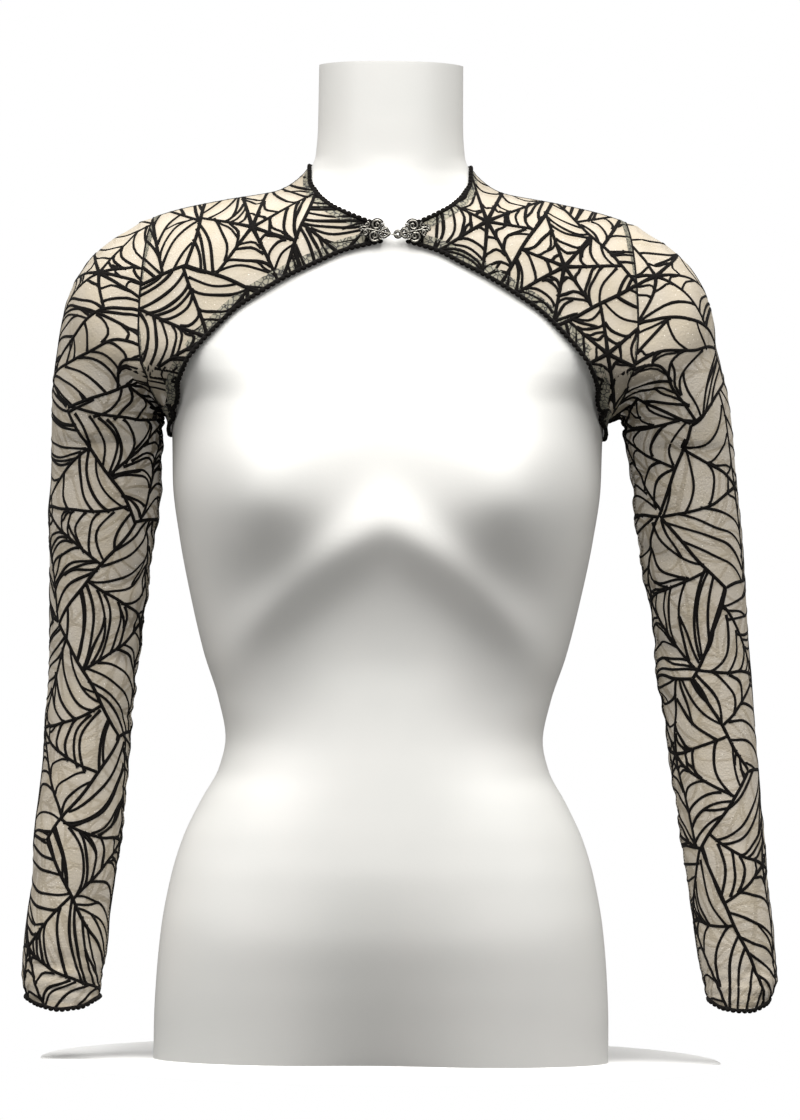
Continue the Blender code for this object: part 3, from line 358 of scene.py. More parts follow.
WEB_REACH, HUB_KNOT = 0.17, 0.007  # how far a hub's threads run, and how fast they thin
FORK_CHANCE, CLOSE_CHANCE = 0.22, 0.25  # how often a strand forks, or lies close to the one before

# Where the web is drawn together at the underarm: place on the chart, first and last angle
UNDERARM_BUNCHES = {
    "front": (((0.1665, 0.488), 85.0, 185.0),),
    "back": (((0.1665, 0.488), 85.0, 185.0), ((-0.1665, 0.488), -5.0, 95.0)),
    "sleeve": ((None, -165.0, -15.0),),
}
BUNCH_REACH, BUNCH_CORE = 0.040, 0.012
BUNCH_DEPTH, BUNCH_FOLDS = 0.0013, 10.0

# Edging: the rope's place beside the edge, the picots' reach past it, and the bands on the net
ROPE_OFF, ROPE_LIFT, PICOT_REACH = 0.0007, 0.0003, 0.0009
PICOT_STRETCH = (1.25, 0.95, 0.95)
NECK_BAND = 0.8  # width of the elastic at the neck over the one at the hem
ON_NET, UNDER_NET = 0.0003, -0.0006  # how far a band lies off the net, outside and inside it

# Seams: where the allowances start and end beside them, and the cords and stitches on them
ARMHOLE_BAND, SEAM_BAND = (-0.0006, 0.0046), (-0.0024, 0.0024)
SEAM_TURN = 3  # steps round the sleeve from its innermost line to its seam
ARMHOLE_CORD, SHOULDER_CORD = 0.0008, 0.0006
PRINT_LIFT, STITCH_LIFT, CORD_LIFT = 0.0001, 0.0001, 0.0002
STITCH_PITCH, STITCH_THREAD = 0.0026, 0.00026
STITCH_STRETCH = (4.2, 1.0, 1.0)

# Scrolls of a clasp half: across, up, size over a large one's, turns, first angle, spin, wire's share.
# Each has a twin below it. Sizes are in metres from the clasp's middle.
SCROLLS = (
    (0.0150, 0.0042, 1.0000, 1.35, 0.4, 1, 1.15),
    (0.0222, 0.0030, 0.5122, 1.10, 2.2, -1, 0.90),
    (0.0096, 0.0031, 0.5854, 1.15, 0.8, 1, 0.80),
    (0.0262, 0.0012, 0.3171, 1.00, 2.0, -1, 0.75),
)
LEAF = (0.0205, 0.0267, 0.0011)
DIAMOND = ((0.0040, 0.0), (0.0074, 0.0036), (0.0112, 0.0), (0.0074, -0.0036))
LONG_BAR, CROSS_BAR = ((0.0048, 0.0), (0.0220, 0.0)), ((0.0150, 0.0075), (0.0150, -0.0075))
EYE = (0.0024, 0.0023)
HOOK_FROM, HOOK_TO, HOOK_BEND, HOOK_DEEP, HOOK_SHANK = -0.0056, 0.0012, 0.0012, 0.0013, 0.45
CLASP_DROP = 0.0017  # the scrolls' middle below the middle of the solid
GROUND_BACK, GROUND_WIDTH = 0.0007, 2.3

# The cut neck's turned-in rim: how far in and down each of its rings lies
NECK_RIM_TALL = 0.0018
NECK_RIM = ((0.0004, 0.0010), (0.0013, 0.0003), (0.0030, 0.0))

# Stage: name, place, size and watts of each soft light, and where they point
LIGHTS = (
    ("key", (-1.4, -1.55, 4.8), 2.8, 270.0),
    ("second_key", (1.4, -1.55, 4.8), 2.8, 246.0),
    ("side_fill", (-3.0, -1.9, 0.9), 1.6, 17.0),
    ("second_side_fill", (3.0, -1.9, 0.9), 1.6, 15.0),
)
LIT_PLACE = (0.0, 0.0, 0.4)
ROOM_LIGHT = 0.20
VIEW_X, VIEW_Z = 0.0107, 0.3825
FLOOR_SIDES = 96


# surfaces


def along_rows(rows, at):
    """The columns of a table at any place of its first column, on a curve that never overshoots."""
    table = np.array(rows, dtype=float)
    place, value = table[:, 0], table[:, 1:]
    at = np.asarray(at, dtype=float)
    slope = np.diff(value, axis=0) / np.diff(place)[:, None]
    tangent = np.vstack([slope[:1], np.zeros_like(slope[1:]), slope[-1:]])
    before, after = slope[:-1], slope[1:]
    agree = before * after > 0
    total = np.where(agree, before + after, 1.0)
    tangent[1:-1] = np.where(agree, 2 * before * after / total, 0.0)
    low = np.clip(np.searchsorted(place, at, side="right") - 1, 0, len(place) - 2)
    span = place[low + 1] - place[low]
    t = np.clip((at - place[low]) / span, 0.0, 1.0)[..., None]
    span = span[..., None]
    return (
        (1 + 2 * t) * (1 - t) ** 2 * value[low]
        + t * (1 - t) ** 2 * span * tangent[low]
        + t * t * (3 - 2 * t) * value[low + 1]
        - t * t * (1 - t) * span * tangent[low + 1]
    )


def smooth(t):
    """Eases from 0 to 1."""
    t = np.clip(t, 0.0, 1.0)
    return t * t * (3 - 2 * t)


def unit(vectors):
    """Vectors of length one."""
    return vectors / np.maximum(np.linalg.norm(vectors, axis=-1, keepdims=True), 1e-12)


def length_share(points):
    """Share of the whole length at each point of a line."""
    run = np.concatenate([[0.0], np.cumsum(np.linalg.norm(np.diff(points, axis=0), axis=1))])
    return run / run[-1]


def spaced(points, shares):
    """Points of a line at the given shares of its length."""
    points = np.asarray(points)
    run = length_share(points)
    return np.stack([np.interp(shares, run, points[:, i]) for i in range(points.shape[1])], axis=1)


def through(rows, shares):
    """A smooth line through a table of points, at the given shares of its length."""
    rows = np.array(rows, dtype=float)
    knots = length_share(rows)
    fine = along_rows(np.column_stack([knots, rows]), np.linspace(0, 1, 400))
    return spaced(fine, shares)


def section_share(x, half_width):
    """How far across a section x is, from 0 at its middle to 1 at its side."""
    return (np.hypot(x, ROUNDNESS) - ROUNDNESS) / (np.hypot(half_width, ROUNDNESS) - ROUNDNESS)


def depth_at(x, height, side, sizes):
    """Y of the body at x: the front for side -1, the back for side 1."""
    half_width, front, back, middle, squareness = np.moveaxis(sizes, -1, 0)
    share = np.clip(section_share(x, half_width), 0.0, 1.0)
    reach = (1 - share**squareness) ** (1 / squareness)
    inside = smooth(BUST_EDGE * reach)
    across = np.exp(-(((np.abs(x) - BUST_X) / BUST_WIDE) ** 2))
    tall = np.where(height > BUST_Z, BUST_UP, BUST_DOWN)
    mound = BUST_RISE * across * np.exp(-(((height - BUST_Z) / tall) ** 2)) * inside
    between = STERNUM_RISE * np.exp(-((x / STERNUM_WIDE) ** 2) - ((height - STERNUM_Z) / STERNUM_TALL) ** 2)
    rib_level = RIB_TOP - RIB_SLOPE * np.hypot(x, RIB_ROUND)
    ribs = RIB_RISE * np.exp(-(((height - rib_level) / RIB_TALL) ** 2))
    ribs = ribs * smooth((RIB_END - np.abs(x)) / RIB_FADE)
    beside, above = (np.abs(x) - WAIST_X) / WAIST_WIDE, (height - WAIST_Z) / WAIST_TALL
    ribs = ribs - WAIST_DEPTH * np.exp(-(beside**2) - above**2) * inside
    furrow = SPINE_DEPTH * np.exp(-((x / SPINE_WIDE) ** 2)) * smooth((SPINE_TOP - height) / SPINE_FADE)
    groin = GROIN_DEPTH * np.exp(-((x / GROIN_WIDE) ** 2))
    groin = groin * np.clip((GROIN_TOP - height) / GROIN_TOP, 0.0, 1.0) ** GROIN_POWER
    front_y = middle - front * reach - mound - between - ribs + groin
    back_y = middle + back * reach - furrow
    return np.where(np.asarray(side) < 0, front_y, back_y)


def form_sizes(height):
    """The form's section at a level, counted on its centre line."""
    return along_rows(TORSO + SHOULDER, height)


def stub_share(u):
    """How far a point of a half ring is on the arm stub, from 0 on the chest to 1 at the side."""
    return smooth((np.abs(u) - STUB_START) / (1 - STUB_START))


def ring_x(u, half_width):
    """X along a half ring, for u from -1 to 1."""
    core = np.minimum(half_width, CORE)
    return core * np.sin(u * math.pi / 2) + np.sign(u) * (half_width - core) * stub_share(u)


def bent_level(height, stub):
    """The centre-line level of the ring that passes a height at a place on the stub."""
    under, over = TORSO[-2][0], SHOULDER[1][0]
    inner, outer = TORSO[-1][0], SHOULDER[0][0]
    low, high = inner + STUB_DROP * stub, outer + STUB_RIM * stub
    rising = under + (height - under) * (inner - under) / (low - under)
    cut = inner + (height - low) * (outer - inner) / (high - low)
    falling = outer + (height - high) * (over - outer) / (over - high)
    bands = [height < under, height < low, height < high, height < over]
    return np.select(bands, [height, rising, cut, falling], height)


def ring_level(x, height):
    """The level of the form's ring through a point, found by trying its place along the ring."""
    level = height = np.asarray(height, dtype=float)
    x = np.broadcast_to(np.abs(x), height.shape)
    for _ in range(LEVEL_TRIES):
        half_width = form_sizes(level)[..., 0]
        low, high = np.zeros_like(height), np.ones_like(height)
        for _ in range(HALVINGS):
            middle = (low + high) / 2
            beyond = ring_x(middle, half_width) > x
            low, high = np.where(beyond, low, middle), np.where(beyond, middle, high)
        level = bent_level(height, stub_share((low + high) / 2))
    return level


def cloth_sizes(x, height, loose):
    """The section that the cloth lies on: the form's, or, where it is loose, one round the arm."""
    height = np.asarray(height, dtype=float)
    round_arm = along_rows(UNDERARM + SHOULDER[1:], height)
    on_form = form_sizes(ring_level(x, height))
    loose = np.asarray(loose, dtype=float)[..., None]
    sizes = on_form + (round_arm - on_form) * loose
    near_rim = np.exp(-(((height - SHOULDER[0][0]) / RIM_REACH) ** 2)) * smooth((np.abs(x) - RIM_X) / 0.03)
    sizes[..., 1:3] += (RIM_LIFT * near_rim)[..., None]
    return sizes


def edge_shift(x, share, sign):
    """How far a front's line moves towards the clasp, which sits off the centre."""
    fade = max(0.0, 1 - share * (NECKLINE_STEPS + SHOULDER_STEPS) / NECKLINE_STEPS)
    return sign * CENTRE_SHIFT * np.exp(-((x / SHIFT_REACH) ** 2)) * fade


def shoulder_seam():
    """The shoulder seam seen from the front, along the ridge from the neck to the armhole."""
    heights = np.linspace(0.600, 0.6815, 400)
    widths = along_rows(SHOULDER, heights)[:, 0]
    x = np.linspace(NECKLINE[-1][0], ARMHOLE[0][0], SHOULDER_STEPS + 1)
    return np.stack([x, np.interp(-x, -widths, heights)], axis=1)


def lay(line, share, side):
    """Points seen from the front, x and height, laid on the body."""
    x, z = line[:, 0], line[:, 1]
    sizes = cloth_sizes(x, z, np.full(len(z), share**LOOSE_POWER))
    x = np.clip(x, -sizes[:, 0], sizes[:, 0])
    return np.stack([x, depth_at(x, z, side, sizes), z], axis=1)


def armhole_line(side):
    """The armhole and the side seam under it, from the shoulder to the hem, on the wearer's left."""
    hole = lay(through(ARMHOLE, np.linspace(0, 1, 400)), 1.0, side)
    hole = spaced(hole, np.linspace(0, 1, ARMHOLE_STEPS + 1))
    down = np.linspace(ARMHOLE[-1][1], HEM[-1][1], SIDE_STEPS + 1)[1:]
    sizes = cloth_sizes(ARMHOLE[-1][0], down, np.ones(SIDE_STEPS))
    seam = np.stack([sizes[:, 0], sizes[:, 3], down], axis=1)
    hole[[0, -1], 1] = cloth_sizes(hole[[0, -1], 0], hole[[0, -1], 2], np.ones(2))[:, 3]
    return np.vstack([hole, seam])


def panel_lines(top, bottom, shares, side, shift=0):
    """Lines over the body from a panel's top edge to its hem, with equal steps along each."""
    edge = armhole_line(side)
    steps = length_share(edge)
    even = np.linspace(0, 1, len(steps))
    fine = np.linspace(0, 1, 200) ** 1.6
    bow = through(ARMHOLE + ((HEM[-1][0], HEM[-1][1]),), fine)
    bow -= bow[0] + (bow[-1] - bow[0]) * fine[:, None]
    lines = []
    for share, start, end in zip(shares, top, bottom):
        if share > 1 - 1e-9:
            lines.append(edge)
            continue
        flat = start + (end - start) * fine[:, None] + bow * share**BOW_POWER
        if shift:
            flat[:, 0] += edge_shift(flat[:, 0], share, shift)
        laid = lay(flat, share, side)
        lines.append(spaced(laid, even + (steps - even) * share**4))
    return np.array(lines)


def front_grid(sign):
    """A front on the body surface, its lines running from the clasp to the armhole."""
    neck = through(NECKLINE, np.linspace(0, 1, NECKLINE_STEPS + 1))
    top = np.vstack([neck[:-1], shoulder_seam()])
    # shares follow the solid's lines, so both surfaces bow alike
    shares = np.linspace(0, 1, len(top))
    bottom = through(HEM, shares)
    return panel_lines(top, bottom, shares, -1, sign) * np.array([sign, 1.0, 1.0])


def back_grid():
    """The back, from the wearer's right armhole to the left one."""
    turn = np.linspace(0, math.pi / 2, BACK_NECK_STEPS // 2 + 1)[:-1]
    half_neck = NECKLINE[-1][0] * np.sin(turn)
    neck = np.stack([half_neck, np.full(len(half_neck), BACK_NECK)], axis=1)
    line = np.vstack([neck, shoulder_seam()])
    across = np.linspace(0, 1, len(line))
    hem = np.stack([HEM[-1][0] * np.sin(across * math.pi / 2), np.full(len(line), BACK_HEM)], axis=1)
    left = panel_lines(line, hem, across, 1)
    right = left[:0:-1] * np.array([-1.0, 1.0, 1.0])
    return np.vstack([right, left])


def grid_normals(grid, closed=False):
    """Unit normals of a grid of points, from its neighbours' differences."""
    if closed:
        around = np.roll(grid, -1, axis=1) - np.roll(grid, 1, axis=1)
    else:
        around = np.gradient(grid, axis=1)
    return unit(np.cross(np.gradient(grid, axis=0), around))


def outward(normals, grid):
    """Normals turned to point away from the middle of each ring."""
    away = grid - grid.mean(axis=1, keepdims=True)
    return normals * np.sign((normals * away)[len(grid) // 2].sum())


def mitred(one, other):
    """The direction two pieces share at a seam, longer where they meet at a sharp angle."""
    shared = unit(one + other)
    return shared / max(float(np.dot(shared, unit(one))), SHARPEST)


def stub_cleared(points):
    """Sleeve points moved out where they would enter the form's shoulder or arm stub."""
    height = points[..., 2]
    bottom = TORSO[-1][0] + STUB_DROP
    half_width, front, back, middle, squareness = np.moveaxis(along_rows(SHOULDER, height), -1, 0)
    across = np.abs(points[..., 0])
    deep = points[..., 1] - middle
    half_depth = np.where(deep < 0, front, back)
    share = section_share(across, half_width + STUB_CLEAR)
    out = (share**squareness + (np.abs(deep) / (half_depth + STUB_CLEAR)) ** squareness) ** (1 / squareness)
    push = 1 + (1 / np.clip(out, 0.5, 1.0) - 1) * smooth((height - bottom) / 0.008)
    moved = points.copy()
    moved[..., 1] = middle + deep * push
    moved[..., 0] = np.sign(points[..., 0]) * across * (1 + (push - 1) * 0.5)
    return moved


def sleeve_fan(arm, loop):
    """Rings that turn from the armhole's loop to a level ring, on the wearer's left."""
    q = np.linspace(0, 1, FAN_RINGS + 1)
    outer = through(SHOULDER_SIDE + UPPER_ARM[arm], q)
    outer = outer - COVER * unit(np.stack([np.gradient(outer[:, 1]) * -1, np.gradient(outer[:, 0])], 1))
    first, last = SLEEVES[arm][0], loop[ARMHOLE_STEPS]
    inside = (first[2] + COVER, first[0])
    width = inside[0] - last[0]
    crotch = [(last[0] + out * width, last[2] + up * CROTCH_RISE) for out, up in CROTCH]
    inner = through((*crotch, inside), q)
    outer[0] = loop[0, 0], loop[0, 2]
    depth = along_rows(ARM_DEPTH, q)
    turn = np.arange(2 * ARMHOLE_STEPS) * math.pi / ARMHOLE_STEPS
    middle, reach = (outer + inner) / 2, (outer - inner) / 2
    rings = np.empty((len(q), len(turn), 3))
    rings[..., 0] = middle[:, :1] + reach[:, :1] * np.cos(turn)
    rings[..., 2] = middle[:, 1:] + reach[:, 1:] * np.cos(turn)
    rings[..., 1] = depth[:, 1:2] - depth[:, :1] * np.sin(turn)
    own_shape = (loop - rings[0])[None] * (1 - smooth(q / SETTLE))[:, None, None]
    rings = rings + own_shape
    return np.vstack([rings[:1], stub_cleared(rings[1:])])


def sleeve_tube(arm):
    """Level rings from under the arm to the wrist, on the wearer's left."""
    turn = np.arange(2 * ARMHOLE_STEPS) * math.pi / ARMHOLE_STEPS
    table = SLEEVES[arm][::-1]
    heights = np.linspace(SLEEVES[arm][0][0], SLEEVES[arm][-1][0], TUBE_RINGS + 1)[1:]
    outer, inner, half_depth, middle = along_rows(table, heights).T[:, :, None]
    rings = np.empty((len(heights), len(turn), 3))
    rings[..., 0] = (outer + inner) / 2 + ((outer - inner) / 2 - COVER) * np.cos(turn)
    rings[..., 1] = middle - (half_depth - COVER) * np.sin(turn)
    heights = heights[:, None]
    rings[..., 2] = heights + CUFF_BOW * np.cos(turn) ** 2 * smooth(1 - heights / CUFF_REACH)
    return rings


def sleeve_grid(arm, front_edge, back_edge):
    """A sleeve on the wearer's left: its first ring is the armhole that the body's pieces leave."""
    loop = np.vstack([front_edge[: ARMHOLE_STEPS + 1], back_edge[ARMHOLE_STEPS - 1 : 0 : -1]])
    rings = np.vstack([sleeve_fan(arm, loop), sleeve_tube(arm)])
    normals = outward(grid_normals(rings, closed=True), rings)
    press = sleeve_creases(arm, rings)
    return rings - normals * press[..., None]


def sleeve_creases(arm, rings):
    """How far the soft creases, the inner side's ripples and the wrist's gathers press in."""
    around = np.degrees(np.arange(rings.shape[1]) * math.pi / ARMHOLE_STEPS)[None]
    height = rings[..., 2]
    press = np.zeros(rings.shape[:2])
    for middle, angle, depth, half_long, half_wide, slant in FOLDS[arm]:
        beside = (around - angle + 180.0) % 360.0 - 180.0
        level = (height - middle - slant * beside) / half_wide
        press += depth * np.exp(-level * level) * np.exp(-((beside / half_long) ** 2))
    lag = SLEEVE_LAG[arm]
    inner = np.exp(-(((around - RIPPLE_ANGLE) / RIPPLE_SPREAD) ** 2))
    inner = inner * smooth((FOLD_START - height) / 0.03) * smooth((height - RIPPLE_END) / 0.05)
    sway = 1.7 * np.sin(height * 61.0 + lag) + np.radians(around) * 1.2
    press += RIPPLE_DEPTH * inner * (1 + np.sin(2 * math.pi * height / RIPPLE_PITCH + sway)) / 2
    wrist = smooth((GATHER_TOP - height) / 0.04)
    sway = 1.6 * np.sin(np.radians(around) * 2 + lag) + lag
    press += GATHER_DEPTH * wrist * (1 + np.sin(2 * math.pi * height / GATHER_PITCH + sway)) / 2
    return press * smooth((FOLD_START - height) / 0.012)


def bunching(points):
    """Folds that radiate from each underarm, as a height above the cloth."""
    out = np.abs(points[..., 0]) - ARMHOLE[-1][0]
    up = points[..., 2] - ARMHOLE[-1][1]
    away = np.sqrt(out**2 + up**2 + (0.7 * (points[..., 1] - 0.003)) ** 2)
    turn = np.arctan2(up, out)
    reach = np.exp(-((away / BUNCH_REACH) ** 2)) * smooth(away / BUNCH_CORE)
    return BUNCH_DEPTH * reach * np.sin(turn * BUNCH_FOLDS + away * 60.0 + 1.5 * np.sin(turn * 3.0))


@functools.lru_cache(maxsize=1)
def cloth():
    """Each cloth piece's base surface and its outward directions, shared along the seams."""
    back = back_grid()
    back_normals = grid_normals(back)
    back_normals *= np.sign(back_normals[len(back) // 2, :, 1].sum())
    made = {}
    for arm, sign in (("left", 1), ("right", -1)):
        panel = front_grid(sign)
        normals = grid_normals(panel)
        normals *= -np.sign(normals[len(panel) // 3, :, 1].sum())
        behind = back if sign > 0 else back[::-1]
        behind_normals = back_normals if sign > 0 else back_normals[::-1]
        flip = np.array([sign, 1.0, 1.0])
        sleeve = sleeve_grid(arm, panel[-1] * flip, behind[-1] * flip)
        sleeve_normals = outward(grid_normals(sleeve, closed=True), sleeve)
        sleeve, sleeve_normals = sleeve * flip, sleeve_normals * flip
        ridge = range(NECKLINE_STEPS, len(panel))
        for step, row in enumerate(ridge):
            other = len(behind) - len(ridge) + step
            normals[row, 0] = behind_normals[other, 0] = mitred(normals[row, 0], behind_normals[other, 0])
        for step in range(ARMHOLE_STEPS + 1, panel.shape[1]):
            shared = mitred(normals[-1, step], behind_normals[-1, step])
            normals[-1, step] = behind_normals[-1, step] = shared
        turns = 2 * ARMHOLE_STEPS
        for step in range(ARMHOLE_STEPS + 1):
            for own, place in ((normals, step), (behind_normals, (turns - step) % turns)):
                own[-1, step] = sleeve_normals[0, place] = mitred(own[-1, step], sleeve_normals[0, place])
        for step in (0, ARMHOLE_STEPS):
            shared = (normals[-1, step] + behind_normals[-1, step]) / 2
            normals[-1, step] = behind_normals[-1, step] = sleeve_normals[0, step] = shared
        made["front_" + arm] = [panel, normals]
        made["sleeve_" + arm] = [sleeve, sleeve_normals]
    made["back"] = [back, back_normals]
    for name, (grid, normals) in made.items():
        made[name] = (grid + normals * (MIDDLE + bunching(grid))[..., None], unit(normals))
    return made


# making meshes


def put(name, mesh, slot, *nodes):
    """A finished piece in the scene, riding on the one body and standing for its solids."""
    piece = bpy.data.objects.new(name, mesh)
    bpy.context.scene.collection.objects.link(piece)
    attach(piece, "root")
    if nodes:
        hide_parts(*nodes)
    return piece


def grid_mesh(name, grid, closed=False, chart=None):
    """A smooth sheet over a grid of points, with the chart's places as its UV map in metres."""
    rows, columns = grid.shape[:2]
    wrap = columns if closed else columns - 1
    faces, places = [], []
    for r in range(rows - 1):
        for c in range(wrap):
            here, below, beside = r * columns, (r + 1) * columns, (c + 1) % columns
            faces.append((here + c, below + c, below + beside, here + beside))
            if chart is not None:
                places += [chart[r, c], chart[r + 1, c], chart[r + 1, c + 1], chart[r, c + 1]]
    mesh = bpy.data.meshes.new(name)
    mesh.from_pydata(grid.reshape(-1, 3).tolist(), [], faces)
    mesh.shade_smooth()
    if chart is not None:
        mesh.uv_layers.new(name="chart").data.foreach_set("uv", np.array(places).ravel())
    return mesh


def chart_of(name):
    """Flat places, in metres, of a piece's grid: seen square on, or unrolled for a sleeve."""
    grid, _ = cloth()[name]
    if not name.startswith("sleeve"):
        return np.abs(grid[..., [0, 2]]) if name.startswith("front") else grid[..., [0, 2]]
    steps = np.linalg.norm(np.diff(grid, axis=0), axis=-1)
    rise = np.vstack([np.cumsum(steps[::-1], axis=0)[::-1], np.zeros((1, grid.shape[1]))])
    rise = np.hstack([rise, rise[:, :1]])
    turn = np.linspace(0, SLEEVE_ROUND, grid.shape[1] + 1)
    return np.stack([np.broadcast_to(turn, rise.shape), rise], axis=-1)


class Chart:
    """Finds the place on a cloth piece for a place on its flat chart."""

    def __init__(self, name):
        grid, normals = cloth()[name]
        if name.startswith("sleeve"):
            grid = np.concatenate([grid, grid[:, :1]], axis=1)
            normals = np.concatenate([normals, normals[:, :1]], axis=1)
        flat = chart_of(name)
        self.round = SLEEVE_ROUND if name.startswith("sleeve") else None
        rows, columns = flat.shape[:2]
        self.flat, self.grid, self.normals = (a.reshape(-1, a.shape[-1]) for a in (flat, grid, normals))
        corner = np.arange(rows * columns).reshape(rows, columns)
        quads = [corner[:-1, :-1], corner[1:, :-1], corner[1:, 1:], corner[:-1, 1:]]
        quads = np.stack([q.ravel() for q in quads], axis=1)
        self.triangles = np.vstack([quads[:, [0, 1, 2]], quads[:, [0, 2, 3]]])
        points = [(u, v, 0.0) for u, v in self.flat]
        self.tree = BVHTree.FromPolygons(points, self.triangles.tolist())

    def find(self, u, v):
        """The point and the outward direction there, or None outside the piece."""
        if self.round:
            u %= self.round
        hit = self.tree.ray_cast(Vector((u, v, 1.0)), Vector((0, 0, -1)))
        if hit[0] is None:
            return None
        corners = self.triangles[hit[2]]
        a, b, c = self.flat[corners]
        area = (b[0] - a[0]) * (c[1] - a[1]) - (b[1] - a[1]) * (c[0] - a[0])
        if abs(area) < 1e-14:
            return None
        wb = ((u - a[0]) * (c[1] - a[1]) - (v - a[1]) * (c[0] - a[0])) / area
        wc = ((b[0] - a[0]) * (v - a[1]) - (b[1] - a[1]) * (u - a[0])) / area
        weights = np.array([1 - wb - wc, wb, wc])
        return weights @ self.grid[corners], unit(weights @ self.normals[corners])


def path_mesh(name, paths):
    """Guide lines: points with their outward direction and half width, joined in order."""
    mesh = bpy.data.meshes.new(name)
    points, edges, outs, widths = [], [], [], []
    for line, out, wide, ring in paths:
        start = len(points)
        points += [tuple(p) for p in line]
        outs += [tuple(o) for o in out]
        widths += list(wide)
        edges += [(start + i, start + i + 1) for i in range(len(line) - 1)]
        if ring:
            edges.append((start + len(line) - 1, start))
    mesh.from_pydata(points, edges, [])
    mesh.attributes.new("out", "FLOAT_VECTOR", "POINT").data.foreach_set("vector", np.array(outs).ravel())
    mesh.attributes.new("half_width", "FLOAT", "POINT").data.foreach_set("value", np.array(widths))
    return mesh


def link(tree, kind, inputs=(), **settings):
    """Adds a node with its settings, and fills its inputs with values or other nodes' outputs."""
    node = tree.nodes.new(kind)
    for key, value in settings.items():
        setattr(node, key, value)
    for key, value in dict(inputs).items():
        socket = node.inputs[key]
        if isinstance(value, bpy.types.NodeSocket):
            tree.links.new(value, socket)
        else:
            socket.default_value = value
    return node


def new_tree(name, sizes):
    """An empty geometry tree with named inputs, and those inputs' sockets."""
    tree = bpy.data.node_groups.new(name, "GeometryNodeTree")
    tree.interface.new_socket("Geometry", in_out="INPUT", socket_type="NodeSocketGeometry")
    tree.interface.new_socket("Geometry", in_out="OUTPUT", socket_type="NodeSocketGeometry")
    for label, kind in sizes.items():
        tree.interface.new_socket(label, in_out="INPUT", socket_type="NodeSocket" + kind)
    return tree, tree.nodes.new("NodeGroupInput").outputs


def close_tree(tree, given, geometry):
    """Ends a tree with plain, smooth geometry that carries its material."""
    real = link(tree, "GeometryNodeRealizeInstances", {0: geometry}).outputs[0]
    soft = link(tree, "GeometryNodeSetShadeSmooth", {"Geometry": real}).outputs[0]
    plain = link(tree, "GeometryNodeRealizeInstances", {0: soft}).outputs[0]
    finish = link(tree, "GeometryNodeSetMaterial", {"Geometry": plain, "Material": given["Material"]})
    link(tree, "NodeGroupOutput", {0: finish.outputs[0]})
    return tree


def strand_tree():
    """Sweeps a rounded, flattened strand along each guide line, its flat side on the cloth."""
    tree, given = new_tree("raised strand", {"Flatness": "Float", "Sides": "Int", "Material": "Material"})
    curve = link(tree, "GeometryNodeMeshToCurve", {"Mesh": given["Geometry"]}).outputs[0]
    out = link(tree, "GeometryNodeInputNamedAttribute", {"Name": "out"}, data_type="FLOAT_VECTOR")
    wide = link(tree, "GeometryNodeInputNamedAttribute", {"Name": "half_width"}, data_type="FLOAT")
    lie = {"Curve": curve, "Normal": out.outputs[0]}
    lying = link(tree, "GeometryNodeSetCurveNormal", lie, mode="FREE")
    ring = link(tree, "GeometryNodeCurvePrimitiveCircle", {"Resolution": given["Sides"], "Radius": 1.0})
    squash = link(tree, "ShaderNodeCombineXYZ", {"X": given["Flatness"], "Y": 1.0, "Z": 1.0})
    flattened = {"Geometry": ring.outputs[0], "Scale": squash.outputs[0]}
    profile = link(tree, "GeometryNodeTransform", flattened)
    sweep = {
        "Curve": lying.outputs[0],
        "Profile Curve": profile.outputs[0],
        "Scale": wide.outputs[0],
        "Fill Caps": True,
    }
    return close_tree(tree, given, link(tree, "GeometryNodeCurveToMesh", sweep).outputs[0])


def beads(tree, curve, spacing, radius, stretch, reach=None):
    """Small rounded beads at every step along a curve, each turned along it."""
    steps = {"Curve": curve, "Length": spacing}
    spots = link(tree, "GeometryNodeResampleCurve", steps, mode="LENGTH").outputs[0]
    if reach is not None:
        out = link(tree, "GeometryNodeInputNamedAttribute", {"Name": "out"}, data_type="FLOAT_VECTOR")
        away = link(tree, "ShaderNodeVectorMath", {0: out.outputs[0], "Scale": reach}, operation="SCALE")
        moved = {"Geometry": spots, "Offset": away.outputs[0]}
        spots = link(tree, "GeometryNodeSetPosition", moved).outputs[0]
    ball = link(tree, "GeometryNodeMeshIcoSphere", {"Radius": radius, "Subdivisions": 2})
    along = link(tree, "GeometryNodeInputTangent")
    turned = link(tree, "FunctionNodeAlignRotationToVector", {"Vector": along.outputs[0]}, axis="X")
    placed = {"Points": spots, "Instance": ball.outputs[0], "Rotation": turned.outputs[0], "Scale": stretch}
    return link(tree, "GeometryNodeInstanceOnPoints", placed).outputs[0]


def picot_tree():
    """A rope core with a small loop-like bump at every step along its outer side."""
    sizes = {"Spacing": "Float", "Bump": "Float", "Reach": "Float", "Core": "Float", "Material": "Material"}
    tree, given = new_tree("picot edging", sizes)
    curve = link(tree, "GeometryNodeMeshToCurve", {"Mesh": given["Geometry"]}).outputs[0]
    ring = link(tree, "GeometryNodeCurvePrimitiveCircle", {"Resolution": 8, "Radius": given["Core"]})
    rope = {"Curve": curve, "Profile Curve": ring.outputs[0], "Fill Caps": True}
    core = link(tree, "GeometryNodeCurveToMesh", rope).outputs[0]
    bumps = beads(tree, curve, given["Spacing"], given["Bump"], PICOT_STRETCH, given["Reach"])
    both = link(tree, "GeometryNodeJoinGeometry")
    for part in (core, bumps):
        tree.links.new(part, both.inputs[0])
    return close_tree(tree, given, both.outputs[0])


def stitch_tree():
    """Short rounded stitches at every pitch along a seam."""
    tree, given = new_tree("stitches", {"Pitch": "Float", "Thread": "Float", "Material": "Material"})
    curve = link(tree, "GeometryNodeMeshToCurve", {"Mesh": given["Geometry"]}).outputs[0]
    return close_tree(tree, given, beads(tree, curve, given["Pitch"], given["Thread"], STITCH_STRETCH))


